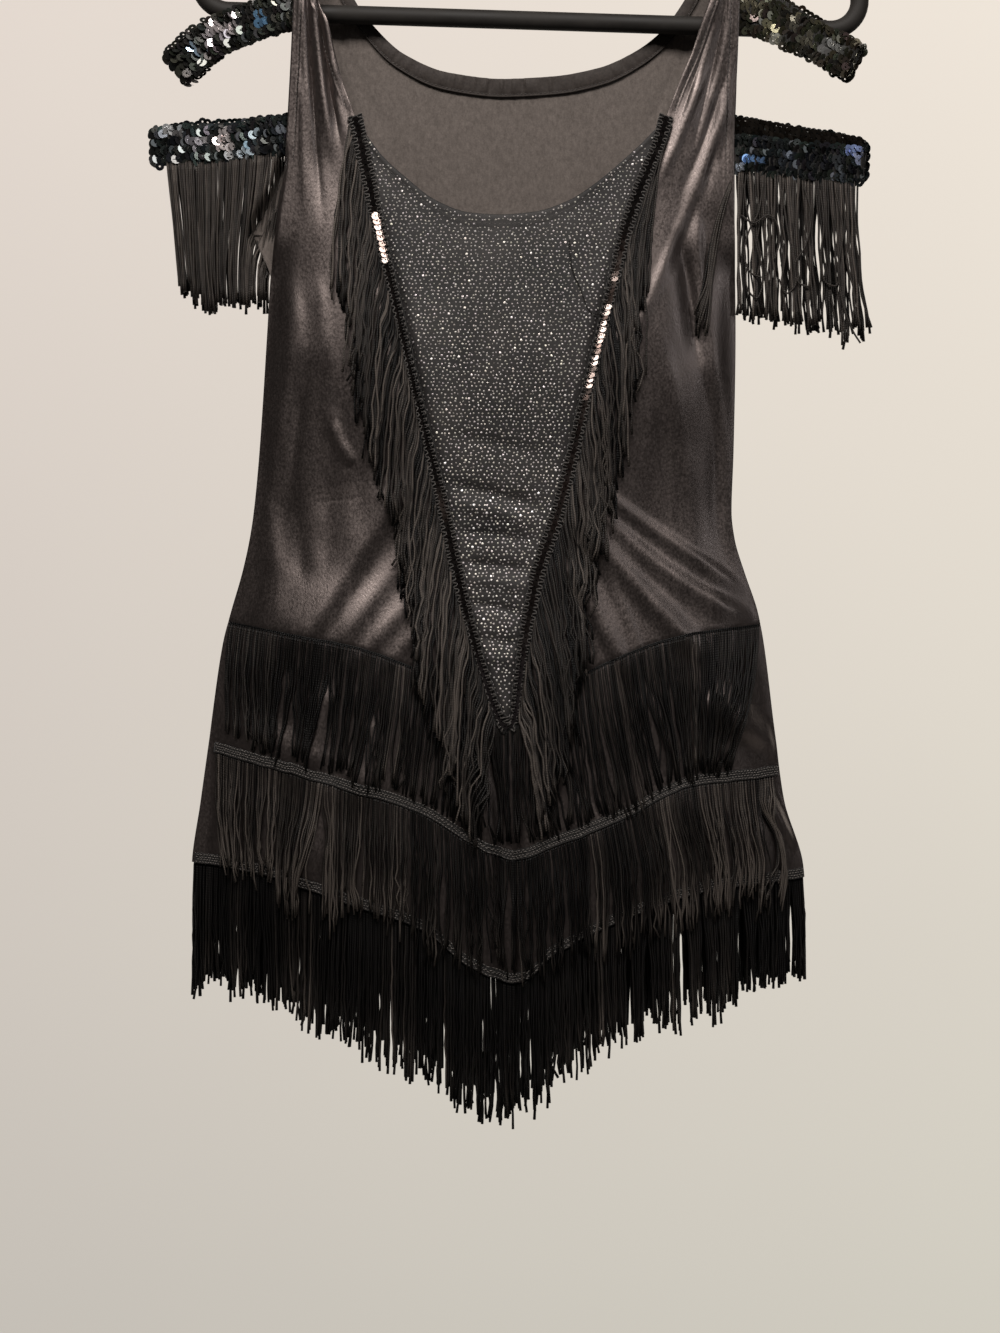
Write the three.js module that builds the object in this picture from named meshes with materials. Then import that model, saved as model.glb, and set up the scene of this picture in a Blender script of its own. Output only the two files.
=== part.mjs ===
// A sleeveless flapper dance dress with cold-shoulder arm bands, hanging on a
// moulded tubular hanger. Millimetres, +Z up. The front faces -Y and +X is to
// the viewer's right. The origin is the point of the hook that rests on a rail.
//
// Every cloth panel is a thin wall. Its inner face lies on one of two surfaces,
// the front's and the back's, which meet along the side seams and go over the
// hanger's arms at the shoulders. What is sewn on top is made from the same
// points, moved outwards.
import * as THREE from 'three';

// ---------------------------------------------------------------- sizes
const GAP = 0.3; // between neighbouring pieces
const CLOTH = 1.2; // satin and glitter cloth, with its turned edges
const CASING = 1.1; // elastic casing inside the back neck
const TAPE = 1.0; // woven header of the fringe
const TAPE_H = 6.2;
const CURTAIN = 2.2; // reach of a fringe's strands, front to back
const TRIM = 1.4; // sequin-stitched tape round the glitter inset
const TRIM_W = 9.6;
const BAND = 2.0; // sequin elastic of the arm bands
const LENS = 2.4; // how square the panels' cross-section is

const TUBE_R = 5.75; // hanger tube
const HANGER_SPAN = 427;
const END_R = 18.25; // centre-line radius of the hanger's round ends
const BAR_DROP = 208; // hook's resting point down to the bar
const ARM_SLOPE = THREE.MathUtils.degToRad(20);
const TILT = THREE.MathUtils.degToRad(1.8); // the right end hangs lower
const HOOK_R = 20; // inside radius of the hook
const HOOK_TUBE_R = 4;
const NECK_R = 8;

const TRIM_TOP = -271;
const APEX_Z = -646; // bottom of the glitter inset
const APEX_X = -19.8;

// Outline of the whole dress, seen from the front.
const OUTLINE = [
  { z: -130, left: -150.5, right: 123.5 },
  { z: -195, left: -153.6, right: 124.4 },
  { z: -260, left: -157.0, right: 122.6 },
  { z: -283, left: -158.4, right: 122.0 },
  { z: -295, left: -161.0, right: 122.0 },
  { z: -318, left: -168.5, right: 122.0 },
  { z: -335, left: -178.0, right: 122.1 },
  { z: -342, left: -181.0, right: 122.3 },
  { z: -356, left: -174.8, right: 122.6 },
  { z: -371, left: -169.3, right: 123.0 },
  { z: -403, left: -171.0, right: 123.3 },
  { z: -480, left: -176.0, right: 122.0 },
  { z: -518, left: -179.6, right: 120.7 },
  { z: -534, left: -182.0, right: 122.5 },
  { z: -556, left: -186.8, right: 129.0 },
  { z: -580, left: -193.8, right: 137.2 },
  { z: -600, left: -199.0, right: 141.0 },
  { z: -655, left: -207.0, right: 147.8 },
  { z: -700, left: -213.3, right: 154.0 },
  { z: -740, left: -218.8, right: 166.0 },
  { z: -770, left: -219.5, right: 167.8 },
  { z: -900, left: -219.5, right: 169.0 },
];

// Half thickness of the hanging dress: at the middle of the front, at the
// middle of the back, and at its edges. The side seams start at z = -372.
const THICKNESS = [
  { z: -130, front: 6.4, back: 6.4, edge: 6.4 },
  { z: -195, front: 9.2, back: 9.0, edge: 8.6 },
  { z: -215, front: 9.8, back: 9.3, edge: 8.6 },
  { z: -240, front: 11.6, back: 9.6, edge: 8.0 },
  { z: -275, front: 14.0, back: 10.2, edge: 7.2 },
  { z: -303, front: 15.5, back: 10.6, edge: 6.9 },
  { z: -335, front: 17.0, back: 11.0, edge: 5.9 },
  { z: -352, front: 17.6, back: 11.2, edge: 4.0 },
  { z: -372, front: 18.0, back: 11.4, edge: 0.15 },
  { z: -420, front: 19.0, back: 11.7, edge: 0.15 },
  { z: -500, front: 19.0, back: 12.0, edge: 0.15 },
  { z: -590, front: 22.0, back: 13.0, edge: 0.15 },
  { z: -660, front: 23.5, back: 14.0, edge: 0.15 },
  { z: -740, front: 25.0, back: 15.0, edge: 0.15 },
  { z: -900, front: 26.5, back: 16.5, edge: 0.15 },
];

// Inner edges of the two side fronts: the strap's neck edge, then the V seam.
const INNER_EDGE = [
  { z: -130, left: -134.5, right: 109.5 },
  { z: -170, left: -135.5, right: 108.0 },
  { z: -197, left: -137.4, right: 106.0 },
  { z: -211, left: -132.8, right: 101.6 },
  { z: -231, left: -128.0, right: 94.9 },
  { z: -250, left: -122.4, right: 86.8 },
  { z: -271, left: -115.3, right: 79.0 },
  { z: -287, left: -111.6, right: 74.6 },
  { z: -305, left: -107.5, right: 67.1 },
  { z: -340, left: -100.3, right: 54.0 },
  { z: -380, left: -91.0, right: 44.2 },
  { z: -440, left: -77.4, right: 29.8 },
  { z: -515, left: -60.0, right: 12.0 },
  { z: -558, left: -50.8, right: -1.7 },
  { z: -590, left: -43.0, right: -8.3 },
  { z: -615, left: -36.0, right: -12.0 },
  { z: -635, left: -29.8, right: -14.4 },
  { z: -646, left: -25.0, right: -16.6 },
  { z: -652, left: -21.0, right: -18.9 },
];

// Neckline of the glitter inset; u runs across it, from V seam to V seam.
const INSET_NECK = [
  { u: 0.0, z: -272.0 },
  { u: 0.055, z: -294.4 },
  { u: 0.13, z: -309.3 },
  { u: 0.235, z: -324.3 },
  { u: 0.365, z: -332.3 },
  { u: 0.49, z: -333.6 },
  { u: 0.625, z: -331.7 },
  { u: 0.75, z: -324.3 },
  { u: 0.84, z: -311.8 },
  { u: 0.925, z: -293.2 },
  { u: 1.0, z: -272.0 },
];

// Back neckline between the shoulders; u runs across the whole dress.
const BACK_NECK = [
  { u: 0.067, z: -156.0 },
  { u: 0.1, z: -172.0 },
  { u: 0.13, z: -192.0 },
  { u: 0.172, z: -207.6 },
  { u: 0.25, z: -227.0 },
  { u: 0.355, z: -238.7 },
  { u: 0.48, z: -242.5 },
  { u: 0.6, z: -240.6 },
  { u: 0.695, z: -235.5 },
  { u: 0.767, z: -226.6 },
  { u: 0.823, z: -215.2 },
  { u: 0.885, z: -192.4 },
  { u: 0.92, z: -170.0 },
  { u: 0.945, z: -157.0 },
];
const STRAP_U = { left: 0.067, right: 0.945 };

// The lines that cross the skirt, all round; u runs across the dress.
const SKIRT = [
  { u: 0.0, hip: -586.5, tape2: -661.0, tape3: -731.5, tips2: -745.0, tips3: -804.0 },
  { u: 0.125, hip: -593.7, tape2: -670.5, tape3: -736.7, tips2: -751.0, tips3: -824.0 },
  { u: 0.25, hip: -601.5, tape2: -683.0, tape3: -752.0, tips2: -763.0, tips3: -842.0 },
  { u: 0.375, hip: -617.0, tape2: -696.5, tape3: -768.0, tips2: -777.0, tips3: -866.0 },
  { u: 0.46, hip: -633.5, tape2: -716.0, tape3: -793.0, tips2: -799.0, tips3: -883.0 },
  { u: 0.527, hip: -652.0, tape2: -727.0, tape3: -803.0, tips2: -808.0, tips3: -889.0 },
  { u: 0.59, hip: -635.0, tape2: -719.0, tape3: -784.0, tips2: -800.0, tips3: -871.0 },
  { u: 0.7, hip: -612.0, tape2: -704.0, tape3: -763.0, tips2: -784.0, tips3: -846.0 },
  { u: 0.85, hip: -594.5, tape2: -681.5, tape3: -746.0, tips2: -762.0, tips3: -825.0 },
  { u: 1.0, hip: -588.0, tape2: -677.0, tape3: -741.0, tips2: -757.0, tips3: -804.0 },
];

// Outer reach of the strands that hang from the V seams.
const V_FRINGE = [
  { z: -284, left: -121.5, right: 82.0 },
  { z: -300, left: -125.5, right: 79.5 },
  { z: -340, left: -127.5, right: 75.0 },
  { z: -378, left: -128.5, right: 68.0 },
  { z: -402, left: -118.0, right: 62.4 },
  { z: -440, left: -113.2, right: 59.0 },
  { z: -480, left: -107.5, right: 54.5 },
  { z: -510, left: -97.0, right: 48.0 },
  { z: -540, left: -87.5, right: 37.0 },
  { z: -575, left: -84.5, right: 30.0 },
  { z: -620, left: -77.0, right: 27.0 },
  { z: -670, left: -62.0, right: 19.0 },
  { z: -722, left: -44.0, right: 3.0 },
];

// Largest folds: ridges stand out of the cloth, a negative height is a trough.
const FOLDS = {
  front: [
    { x1: -148.5, z1: -170, x2: -141, z2: -300, wide: 3.4, high: 1.3 },
    { x1: -143, z1: -170, x2: -128, z2: -306, wide: 3.2, high: 1.6 },
    { x1: -138.5, z1: -180, x2: -118, z2: -292, wide: 2.8, high: 1.2 },
    { x1: 121, z1: -172, x2: 112, z2: -290, wide: 3.6, high: 1.3 },
    { x1: 117, z1: -176, x2: 88, z2: -282, wide: 3.6, high: 1.6 },
    { x1: 120, z1: -232, x2: 72, z2: -392, wide: 5.0, high: 1.8 },
    { x1: -143, z1: -416, x2: -164, z2: -541, wide: 8.0, high: -1.6 },
    { x1: -126, z1: -470, x2: -117, z2: -560, wide: 9.0, high: 1.4 },
    { x1: -149, z1: -592, x2: -94, z2: -519, wide: 6.0, high: 2.2 },
    { x1: -137, z1: -595, x2: -86, z2: -541, wide: 5.0, high: 1.9 },
    { x1: 86, z1: -372, x2: 108, z2: -524, wide: 8.0, high: -1.6 },
    { x1: 51, z1: -515, x2: 126, z2: -566, wide: 6.0, high: 2.3 },
    { x1: 42, z1: -521, x2: 113, z2: -581, wide: 6.0, high: 2.4 },
    { x1: 36, z1: -538, x2: 87, z2: -593, wide: 5.0, high: 1.8 },
    { x1: -60, z1: -503, x2: 2, z2: -523, wide: 6.0, high: -1.0 },
  ],
  back: [
    { x1: -146, z1: -172, x2: -112, z2: -318, wide: 4.0, high: 1.6 },
    { x1: -140, z1: -180, x2: -88, z2: -296, wide: 3.6, high: 1.2 },
    { x1: 119, z1: -172, x2: 84, z2: -330, wide: 4.2, high: 1.7 },
    { x1: 112, z1: -180, x2: 62, z2: -288, wide: 3.6, high: 1.2 },
    { x1: -150, z1: -420, x2: -120, z2: -566, wide: 9.0, high: -1.5 },
    { x1: 104, z1: -400, x2: 82, z2: -560, wide: 9.0, high: 1.6 },
    { x1: -168, z1: -586, x2: -96, z2: -530, wide: 6.0, high: 2.0 },
    { x1: 42, z1: -540, x2: 118, z2: -580, wide: 6.0, high: 2.2 },
    { x1: -30, z1: -430, x2: -22, z2: -600, wide: 10.0, high: -1.8 },
  ],
};

// Arm bands: centre lines of a loop's front and back strips, from the strap
// out to the loop's end. `reach` is the loop's half thickness inside.
const BANDS = {
  upper_left: {
    high: 23, reach: 6.2,
    run: [
      { x: -149.5, front: -201.5, back: -199.0 },
      { x: -178.0, front: -209.5, back: -205.0 },
      { x: -203.0, front: -219.0, back: -217.0 },
      { x: -223.8, front: -235.0, back: -234.0 },
    ],
  },
  upper_right: {
    high: 23, reach: 6.2,
    run: [
      { x: 118.5, front: -202.0, back: -198.0 },
      { x: 141.0, front: -208.5, back: -199.5 },
      { x: 165.0, front: -219.5, back: -211.5 },
      { x: 194.0, front: -233.0, back: -231.0 },
    ],
  },
  lower_left: {
    high: 22.5, reach: 4.3,
    run: [
      { x: -152.5, front: -280.0, back: -279.0 },
      { x: -180.0, front: -283.5, back: -280.5 },
      { x: -210.0, front: -287.0, back: -282.5 },
      { x: -239.0, front: -288.5, back: -285.0 },
    ],
  },
  lower_right: {
    high: 22.5, reach: 4.3,
    run: [
      { x: 118.5, front: -292.5, back: -279.0 },
      { x: 145.0, front: -295.0, back: -283.0 },
      { x: 172.0, front: -298.0, back: -288.0 },
      { x: 200.7, front: -300.5, back: -292.5 },
    ],
  },
};

// Fringe of the lower bands: how far across it reaches at a height, and the
// height of its tips.
const BAND_FRINGE = {
  left: {
    edges: [
      { z: -280, from: -236.0, to: -164.0 },
      { z: -318, from: -232.0, to: -173.5 },
      { z: -336, from: -230.0, to: -186.5 },
      { z: -350, from: -228.5, to: -186.5 },
      { z: -374, from: -226.0, to: -178.0 },
      { z: -400, from: -223.5, to: -178.0 },
    ],
    tips: [
      { u: 0, z: -380 },
      { u: 0.35, z: -387 },
      { u: 1, z: -386 },
    ],
  },
  right: {
    edges: [
      { z: -280, from: 124.9, to: 198.5 },
      { z: -340, from: 125.2, to: 200.5 },
      { z: -408, from: 125.8, to: 206.0 },
    ],
    tips: [
      { u: 0, z: -391 },
      { u: 0.5, z: -400 },
      { u: 1, z: -406 },
    ],
  },
};

// ---------------------------------------------------------------- finishes
const finish = (color, roughness, metalness = 0) =>
  new THREE.MeshStandardMaterial({ color, roughness, metalness });
const LOOK = {
  satin: finish(0x2a2526, 0.42),
  inset: finish(0x302d2c, 0.6),
  tape: finish(0x161415, 0.8),
  fringe: finish(0x121011, 0.75),
  trim: finish(0x3a2a26, 0.45),
  sequins: finish(0x1c1b1a, 0.25, 0.4),
  plastic: finish(0x24231f, 0.4),
};

// ---------------------------------------------------------------- helpers
const lerp = (a, b, t) => a + (b - a) * t;
const clamp01 = (t) => Math.min(1, Math.max(0, t));
const smooth = (t) => { const c = clamp01(t); return c * c * (3 - 2 * c); };
const even = (n) => Array.from({ length: n + 1 }, (_, i) => i / n);

// A smooth line through one column of a table, with no overshoot.
function column(rows, key, name) {
  const r = rows.map((row) => [row[key], row[name]]).sort((a, b) => a[0] - b[0]);
  const d = r.slice(1).map((q, i) => (q[1] - r[i][1]) / (q[0] - r[i][0]));
  const m = r.map((_, i) => {
    if (i === 0) return d[0];
    if (i === r.length - 1) return d[d.length - 1];
    if (d[i - 1] * d[i] <= 0) return 0;
    return (2 * d[i - 1] * d[i]) / (d[i - 1] + d[i]);
  });
  return (k) => {
    if (k <= r[0][0]) return r[0][1];
    const last = r.length - 1;
    if (k >= r[last][0]) return r[last][1];
    let i = 0;
    while (k > r[i + 1][0]) i++;
    const h = r[i + 1][0] - r[i][0];
    const t = (k - r[i][0]) / h;
    return (1 + 2 * t) * (1 - t) ** 2 * r[i][1] + t * (1 - t) ** 2 * h * m[i]
      + t * t * (3 - 2 * t) * r[i + 1][1] + t * t * (t - 1) * h * m[i + 1];
  };
}

const edge = { left: column(OUTLINE, 'z', 'left'), right: column(OUTLINE, 'z', 'right') };
const inner = { left: column(INNER_EDGE, 'z', 'left'), right: column(INNER_EDGE, 'z', 'right') };
const half = {
  front: column(THICKNESS, 'z', 'front'),
  back: column(THICKNESS, 'z', 'back'),
  edge: column(THICKNESS, 'z', 'edge'),
};
const line = Object.fromEntries(
  ['hip', 'tape2', 'tape3', 'tips2', 'tips3'].map((name) => [name, column(SKIRT, 'u', name)]));
const fringeReach = { left: column(V_FRINGE, 'z', 'left'), right: column(V_FRINGE, 'z', 'right') };

// A point of the hanger's own plane, in the tilted hanger's place.
const tilted = (x, z) => new THREE.Vector3(
  x * Math.cos(TILT) + z * Math.sin(TILT), 0, -x * Math.sin(TILT) + z * Math.cos(TILT));
const END_X = HANGER_SPAN / 2 - END_R - TUBE_R;
const bendEnd = [END_X + END_R * Math.sin(ARM_SLOPE), -BAR_DROP + END_R + END_R * Math.cos(ARM_SLOPE)];
const NECK_Z = bendEnd[1] + bendEnd[0] * Math.tan(ARM_SLOPE);
const neck = tilted(0, NECK_Z);

// Height of the arm's centre line at x, and the wrap of a strap round it.
const WRAP_R = TUBE_R + 0.6;
const WRAP = WRAP_R * Math.PI / 2 - GAP / 2;
const armHeight = (x) => (x < neck.x
  ? neck.z - (neck.x - x) * Math.tan(ARM_SLOPE - TILT)
  : neck.z - (x - neck.x) * Math.tan(ARM_SLOPE + TILT));

function foldHeight(side, x, z) {
  let sum = 0;
  for (const f of FOLDS[side]) {
    const dx = f.x2 - f.x1, dz = f.z2 - f.z1;
    const t = ((x - f.x1) * dx + (z - f.z1) * dz) / (dx * dx + dz * dz);
    if (t < 0 || t > 1) continue;
    const away = Math.hypot(x - f.x1 - t * dx, z - f.z1 - t * dz);
    sum += f.high * Math.exp(-((away / f.wide) ** 2)) * (1 - (2 * t - 1) ** 4);
  }
  return sum;
}

// Distance of a panel's inner face from the dress's middle plane.
function standoff(side, x, z) {
  const l = edge.left(z), r = edge.right(z);
  const s = clamp01(Math.abs((x - (l + r) / 2) / ((r - l) / 2)));
  const e = half.edge(z);
  const lens = e + (half[side](z) - e) * (1 - s ** LENS);
  const beside = Math.min(Math.abs(x - inner.left(z)), Math.abs(x - inner.right(z)));
  const free = side === 'back' || z > INSET_NECK[0].z + 12 ? 1 : smooth((beside - 3) / 9);
  const folds = foldHeight(side, x, z) * smooth((1 - s) / 0.08 + (e > 3 ? 1 : 0)) * free;
  const below = smooth((armHeight(x) - z) / 30);
  return lerp(WRAP_R, lens + folds, below);
}

// A panel's inner face: the point at x, at height h, and its outward normal.
// Above the arm's centre line, h goes on round the tube.
function cloth(side, x, h) {
  const out = side === 'front' ? -1 : 1;
  const arm = armHeight(x);
  if (h > arm) {
    const a = (h - arm) / WRAP_R;
    return {
      p: new THREE.Vector3(x, out * WRAP_R * Math.cos(a), arm + WRAP_R * Math.sin(a) / Math.cos(ARM_SLOPE)),
      n: new THREE.Vector3(0, out * Math.cos(a), Math.sin(a)),
    };
  }
  const step = 1.5;
  const gx = (standoff(side, x + step, h) - standoff(side, x - step, h)) / (2 * step);
  const gz = (standoff(side, x, Math.min(h + step, arm)) - standoff(side, x, h - step)) / (2 * step);
  return {
    p: new THREE.Vector3(x, out * standoff(side, x, h), h),
    n: new THREE.Vector3(-gx, out, -gz).normalize(),
  };
}

// A closed wall over a grid: at(u, v) gives a point and its outward normal,
// and the wall runs from `from` to `to` along the normal. Cells for which
// absent(column, row) is true are left out.
const dress = new THREE.Group();
const number = (value, u, v) => (typeof value === 'function' ? value(u, v) : value);
function wall(name, look, us, vs, at, from, to, absent = () => false) {
  const nu = us.length, nv = vs.length, verts = [], faces = [], used = new Map();
  const has = (i, j) => i >= 0 && j >= 0 && i < nu - 1 && j < nv - 1 && !absent(i, j);
  const corner = (layer, i, j) => {
    const key = (layer * nv + j) * nu + i;
    if (!used.has(key)) {
      const u = us[i], v = vs[j], { p, n } = at(u, v);
      used.set(key, verts.length / 3);
      verts.push(...p.clone().addScaledVector(n, number(layer ? to : from, u, v)).toArray());
    }
    return used.get(key);
  };
  const quad = (a, b, c, d) => faces.push(a, b, c, a, c, d);
  const side = (i1, j1, i2, j2) =>
    quad(corner(0, i1, j1), corner(1, i1, j1), corner(1, i2, j2), corner(0, i2, j2));
  for (let j = 0; j < nv - 1; j++) {
    for (let i = 0; i < nu - 1; i++) {
      if (!has(i, j)) continue;
      quad(corner(1, i, j), corner(1, i, j + 1), corner(1, i + 1, j + 1), corner(1, i + 1, j));
      quad(corner(0, i, j), corner(0, i + 1, j), corner(0, i + 1, j + 1), corner(0, i, j + 1));
      if (!has(i, j - 1)) side(i, j, i + 1, j);
      if (!has(i, j + 1)) side(i + 1, j + 1, i, j + 1);
      if (!has(i - 1, j)) side(i, j + 1, i, j);
      if (!has(i + 1, j)) side(i + 1, j, i + 1, j + 1);
    }
  }
  return solid(name, look, verts, faces);
}

// Adds a closed mesh, turning its faces outwards.
function solid(name, look, verts, faces) {
  const at = (k) => new THREE.Vector3().fromArray(verts, 3 * k);
  let volume = 0;
  for (let k = 0; k < faces.length; k += 3) {
    volume += at(faces[k]).dot(at(faces[k + 1]).cross(at(faces[k + 2])));
  }
  if (volume < 0) {
    for (let k = 0; k < faces.length; k += 3) [faces[k + 1], faces[k + 2]] = [faces[k + 2], faces[k + 1]];
  }
  const geometry = new THREE.BufferGeometry();
  geometry.setAttribute('position', new THREE.Float32BufferAttribute(verts, 3));
  geometry.setIndex(faces);
  geometry.computeVertexNormals();
  const mesh = new THREE.Mesh(geometry, look);
  mesh.name = name;
  dress.add(mesh);
  return mesh;
}

const across = (u, h) => lerp(edge.left(h), edge.right(h), u);
const shareAcross = (x, h) => (x - edge.left(h)) / (edge.right(h) - edge.left(h));
// Solves h = goal(share of the width at x(h)) for a piece bounded by a skirt line.
function settle(goal, x, start) {
  let h = start;
  for (let k = 0; k < 12; k++) h = goal(shareAcross(x(h), h));
  return h;
}

// ---------------------------------------------------------------- bodice front
const INSET_TOP = INSET_NECK[0].z;
const INSET_ROWS = 10;
const sideCols = [0, 0.09, 0.22, 0.35, 0.48, 0.61, 0.74, 0.87, 1];
const WRAP_DOWN = [0, 3.3, 6.7, 10]; // rows that go over the shoulder
const STRAP_ROWS = [-162, -180, -197, -213, -231, -250];
const seamShares = { left: [], right: [] }; // where the panels' columns meet the hip seam

for (const [name, hand] of [['front_left', 'left'], ['front_right', 'right']]) {
  // u runs from the armhole and side seam to the neck edge and the V seam
  const toMiddle = hand === 'left' ? -GAP / 2 : GAP / 2;
  const x = (u, h) => lerp(edge[hand](h), inner[hand](h) + toMiddle, u);
  const top = (u) => armHeight(x(u, -146)) + WRAP;
  const bottom = (u) => settle(line.hip, (h) => x(u, h), -600) + GAP / 2;
  // rows meet the V seam at the same heights as the inset's rows do
  const heights = [
    ...WRAP_DOWN.map((d) => top(1) - d), ...STRAP_ROWS,
    ...even(INSET_ROWS).map((t) => lerp(INSET_TOP, APEX_Z, t)), bottom(1)];
  const rows = heights.map((h) => (top(1) - h) / (top(1) - bottom(1)));
  const at = (u, v) => {
    const h = lerp(top(u), bottom(u), v);
    return cloth('front', x(u, h), h);
  };
  wall(name, LOOK.satin, sideCols, rows, at, 0, CLOTH);
  for (const u of sideCols) seamShares[hand].push(shareAcross(x(u, bottom(u)), bottom(u)));
}

{ // glitter inset between the V seams
  const neckline = column(INSET_NECK, 'u', 'z');
  const at = (u, v) => {
    const h = lerp(neckline(u), APEX_Z, v);
    const x = lerp(inner.left(h) + GAP / 2, inner.right(h) - GAP / 2, u);
    return cloth('front', x, h);
  };
  wall('front_inset', LOOK.inset, INSET_NECK.map((r) => r.u), even(INSET_ROWS), at, 0, CLOTH);
}

// ---------------------------------------------------------------- bodice back
const backNeck = column(BACK_NECK, 'u', 'z');
const backCols = [0, 0.03, ...BACK_NECK.map((r) => r.u), 0.972, 1];
{
  // the first rows are the two straps, which go over the shoulder
  const strapRows = WRAP_DOWN.length;
  const inStrap = (u) => u <= STRAP_U.left || u >= STRAP_U.right;
  const rows = even(strapRows + 12).map((t) => t * (strapRows + 12));
  const at = (u, row) => {
    const shoulder = armHeight(across(u, -146)) + WRAP;
    if (row < strapRows) {
      const h = shoulder - WRAP_DOWN[row];
      return cloth('back', across(u, h), h);
    }
    const top = inStrap(u) ? shoulder - 17 : backNeck(u);
    const h = lerp(top, line.hip(u) + GAP / 2, ((row - strapRows) / 12) ** 1.1);
    return cloth('back', across(u, h), h);
  };
  const absent = (i, j) => j < strapRows && !(inStrap(backCols[i]) && inStrap(backCols[i + 1]));
  wall('back', LOOK.satin, backCols, rows, at, 0, CLOTH, absent);

  // elastic casing along the back neck, on the cloth's inner face
  const casingWide = (u) => lerp(7.5, 11.5, smooth(Math.sin(Math.PI * clamp01((u - 0.1) / 0.82))));
  const slope = (u) => (backNeck(u + 0.004) - backNeck(u - 0.004)) / (across(u + 0.004, -220) - across(u - 0.004, -220));
  const casingAt = (u, v) => {
    const s = slope(u), w = casingWide(u) * v, long = Math.hypot(1, s);
    const h = backNeck(u) - w / long;
    return cloth('back', across(u, backNeck(u)) + (w * s) / long, h);
  };
  const casingCols = BACK_NECK.map((r) => r.u).filter((u) => u >= 0.1 && u <= 0.92);
  wall('back_neck_casing', LOOK.satin, casingCols, [0, 1], casingAt, -GAP - 0.4, -GAP - 0.4 - CASING);
}

// ---------------------------------------------------------------- skirt
const skirtCols = {
  front: [...seamShares.left, ...seamShares.right.reverse()],
  back: backCols,
};
const between = (side, top, bottom) => (u, v) => {
  const h = lerp(top(u), bottom(u), v);
  return cloth(side, across(u, h), h);
};
for (const side of ['front', 'back']) {
  const cols = skirtCols[side];
  const tapeBottom = (name) => (u) => line[name](u) - TAPE_H;
  const hem = (u) => line.tape3(u) - TAPE_H;
  const on = CLOTH + GAP;
  wall(`skirt_${side}`, LOOK.satin, cols, even(6),
    between(side, (u) => line.hip(u) - GAP / 2, hem), 0, CLOTH);
  // first tier: its header is caught in the hip seam
  wall(`fringe_tier1_${side}`, LOOK.fringe, cols, even(2),
    between(side, (u) => line.hip(u) - GAP, (u) => line.tape2(u) + 1.5), on, on + CURTAIN);
  wall(`tape_tier2_${side}`, LOOK.tape, cols, [0, 1],
    between(side, line.tape2, tapeBottom('tape2')), on, on + TAPE);
  // second tier: hangs free over the third tape
  const clear = (u, v) => lerp(on, on + TAPE + GAP, smooth(v / 0.6));
  wall(`fringe_tier2_${side}`, LOOK.fringe, cols, even(3),
    between(side, (u) => line.tape2(u) - TAPE_H - GAP, line.tips2),
    clear, (u, v) => clear(u, v) + CURTAIN);
  wall(`tape_tier3_${side}`, LOOK.tape, cols, [0, 1],
    between(side, line.tape3, tapeBottom('tape3')), on, on + TAPE);
  wall(`fringe_tier3_${side}`, LOOK.fringe, cols, even(2),
    between(side, (u) => hem(u) - GAP, line.tips3), GAP, GAP + CURTAIN);
}

// ---------------------------------------------------------------- V trim and its fringe
const ON = CLOTH + GAP;
const trimHalf = (hand, h) => {
  const s = (inner[hand](h + 3) - inner[hand](h - 3)) / 6;
  return (TRIM_W / 2) * Math.hypot(1, s);
};
for (const hand of ['left', 'right']) {
  const out = hand === 'left' ? -1 : 1;
  const middle = APEX_X + out * GAP / 2;
  const outerX = (h) => inner[hand](h) + out * trimHalf(hand, h);
  const innerX = (h) => {
    const x = inner[hand](h) - out * trimHalf(hand, h);
    return out < 0 ? Math.min(x, middle) : Math.max(x, middle);
  };
  // its lower end stops above the first tier's top
  const clearOf = (x) => Math.max(APEX_Z, line.hip(shareAcross(x, APEX_Z)) + 4 * GAP);
  const outerEnd = clearOf(outerX(APEX_Z)), innerEnd = clearOf(middle);
  wall(`trim_${hand}`, LOOK.trim, even(4), even(22), (u, v) => {
    const h = lerp(TRIM_TOP, lerp(outerEnd, innerEnd, u), v);
    return cloth('front', lerp(outerX(h), innerX(h), u), h);
  }, ON + 0.5, ON + 0.5 + TRIM);

  // strands lie on the side front, then go over the hip seam and the first tier
  const rootX = (h) => (h > APEX_Z ? outerX(h) + out * 2 * GAP : middle);
  const at = (u, v) => {
    const h = lerp(lerp(-296, -284, u), lerp(-706, -722, u), v);
    const x = lerp(fringeReach[hand](h), rootX(h), u);
    return { x, h };
  };
  const lift = (u, v) => {
    const { x, h } = at(u, v);
    const above = h - line.hip(shareAcross(x, h));
    return lerp(ON + CURTAIN + GAP, ON + 0.9, smooth((above - 14) / 46));
  };
  wall(`v_fringe_${hand}`, LOOK.fringe, even(4), even(17), (u, v) => {
    const { x, h } = at(u, v);
    return cloth('front', x, h);
  }, lift, (u, v) => lift(u, v) + CURTAIN);
}

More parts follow.
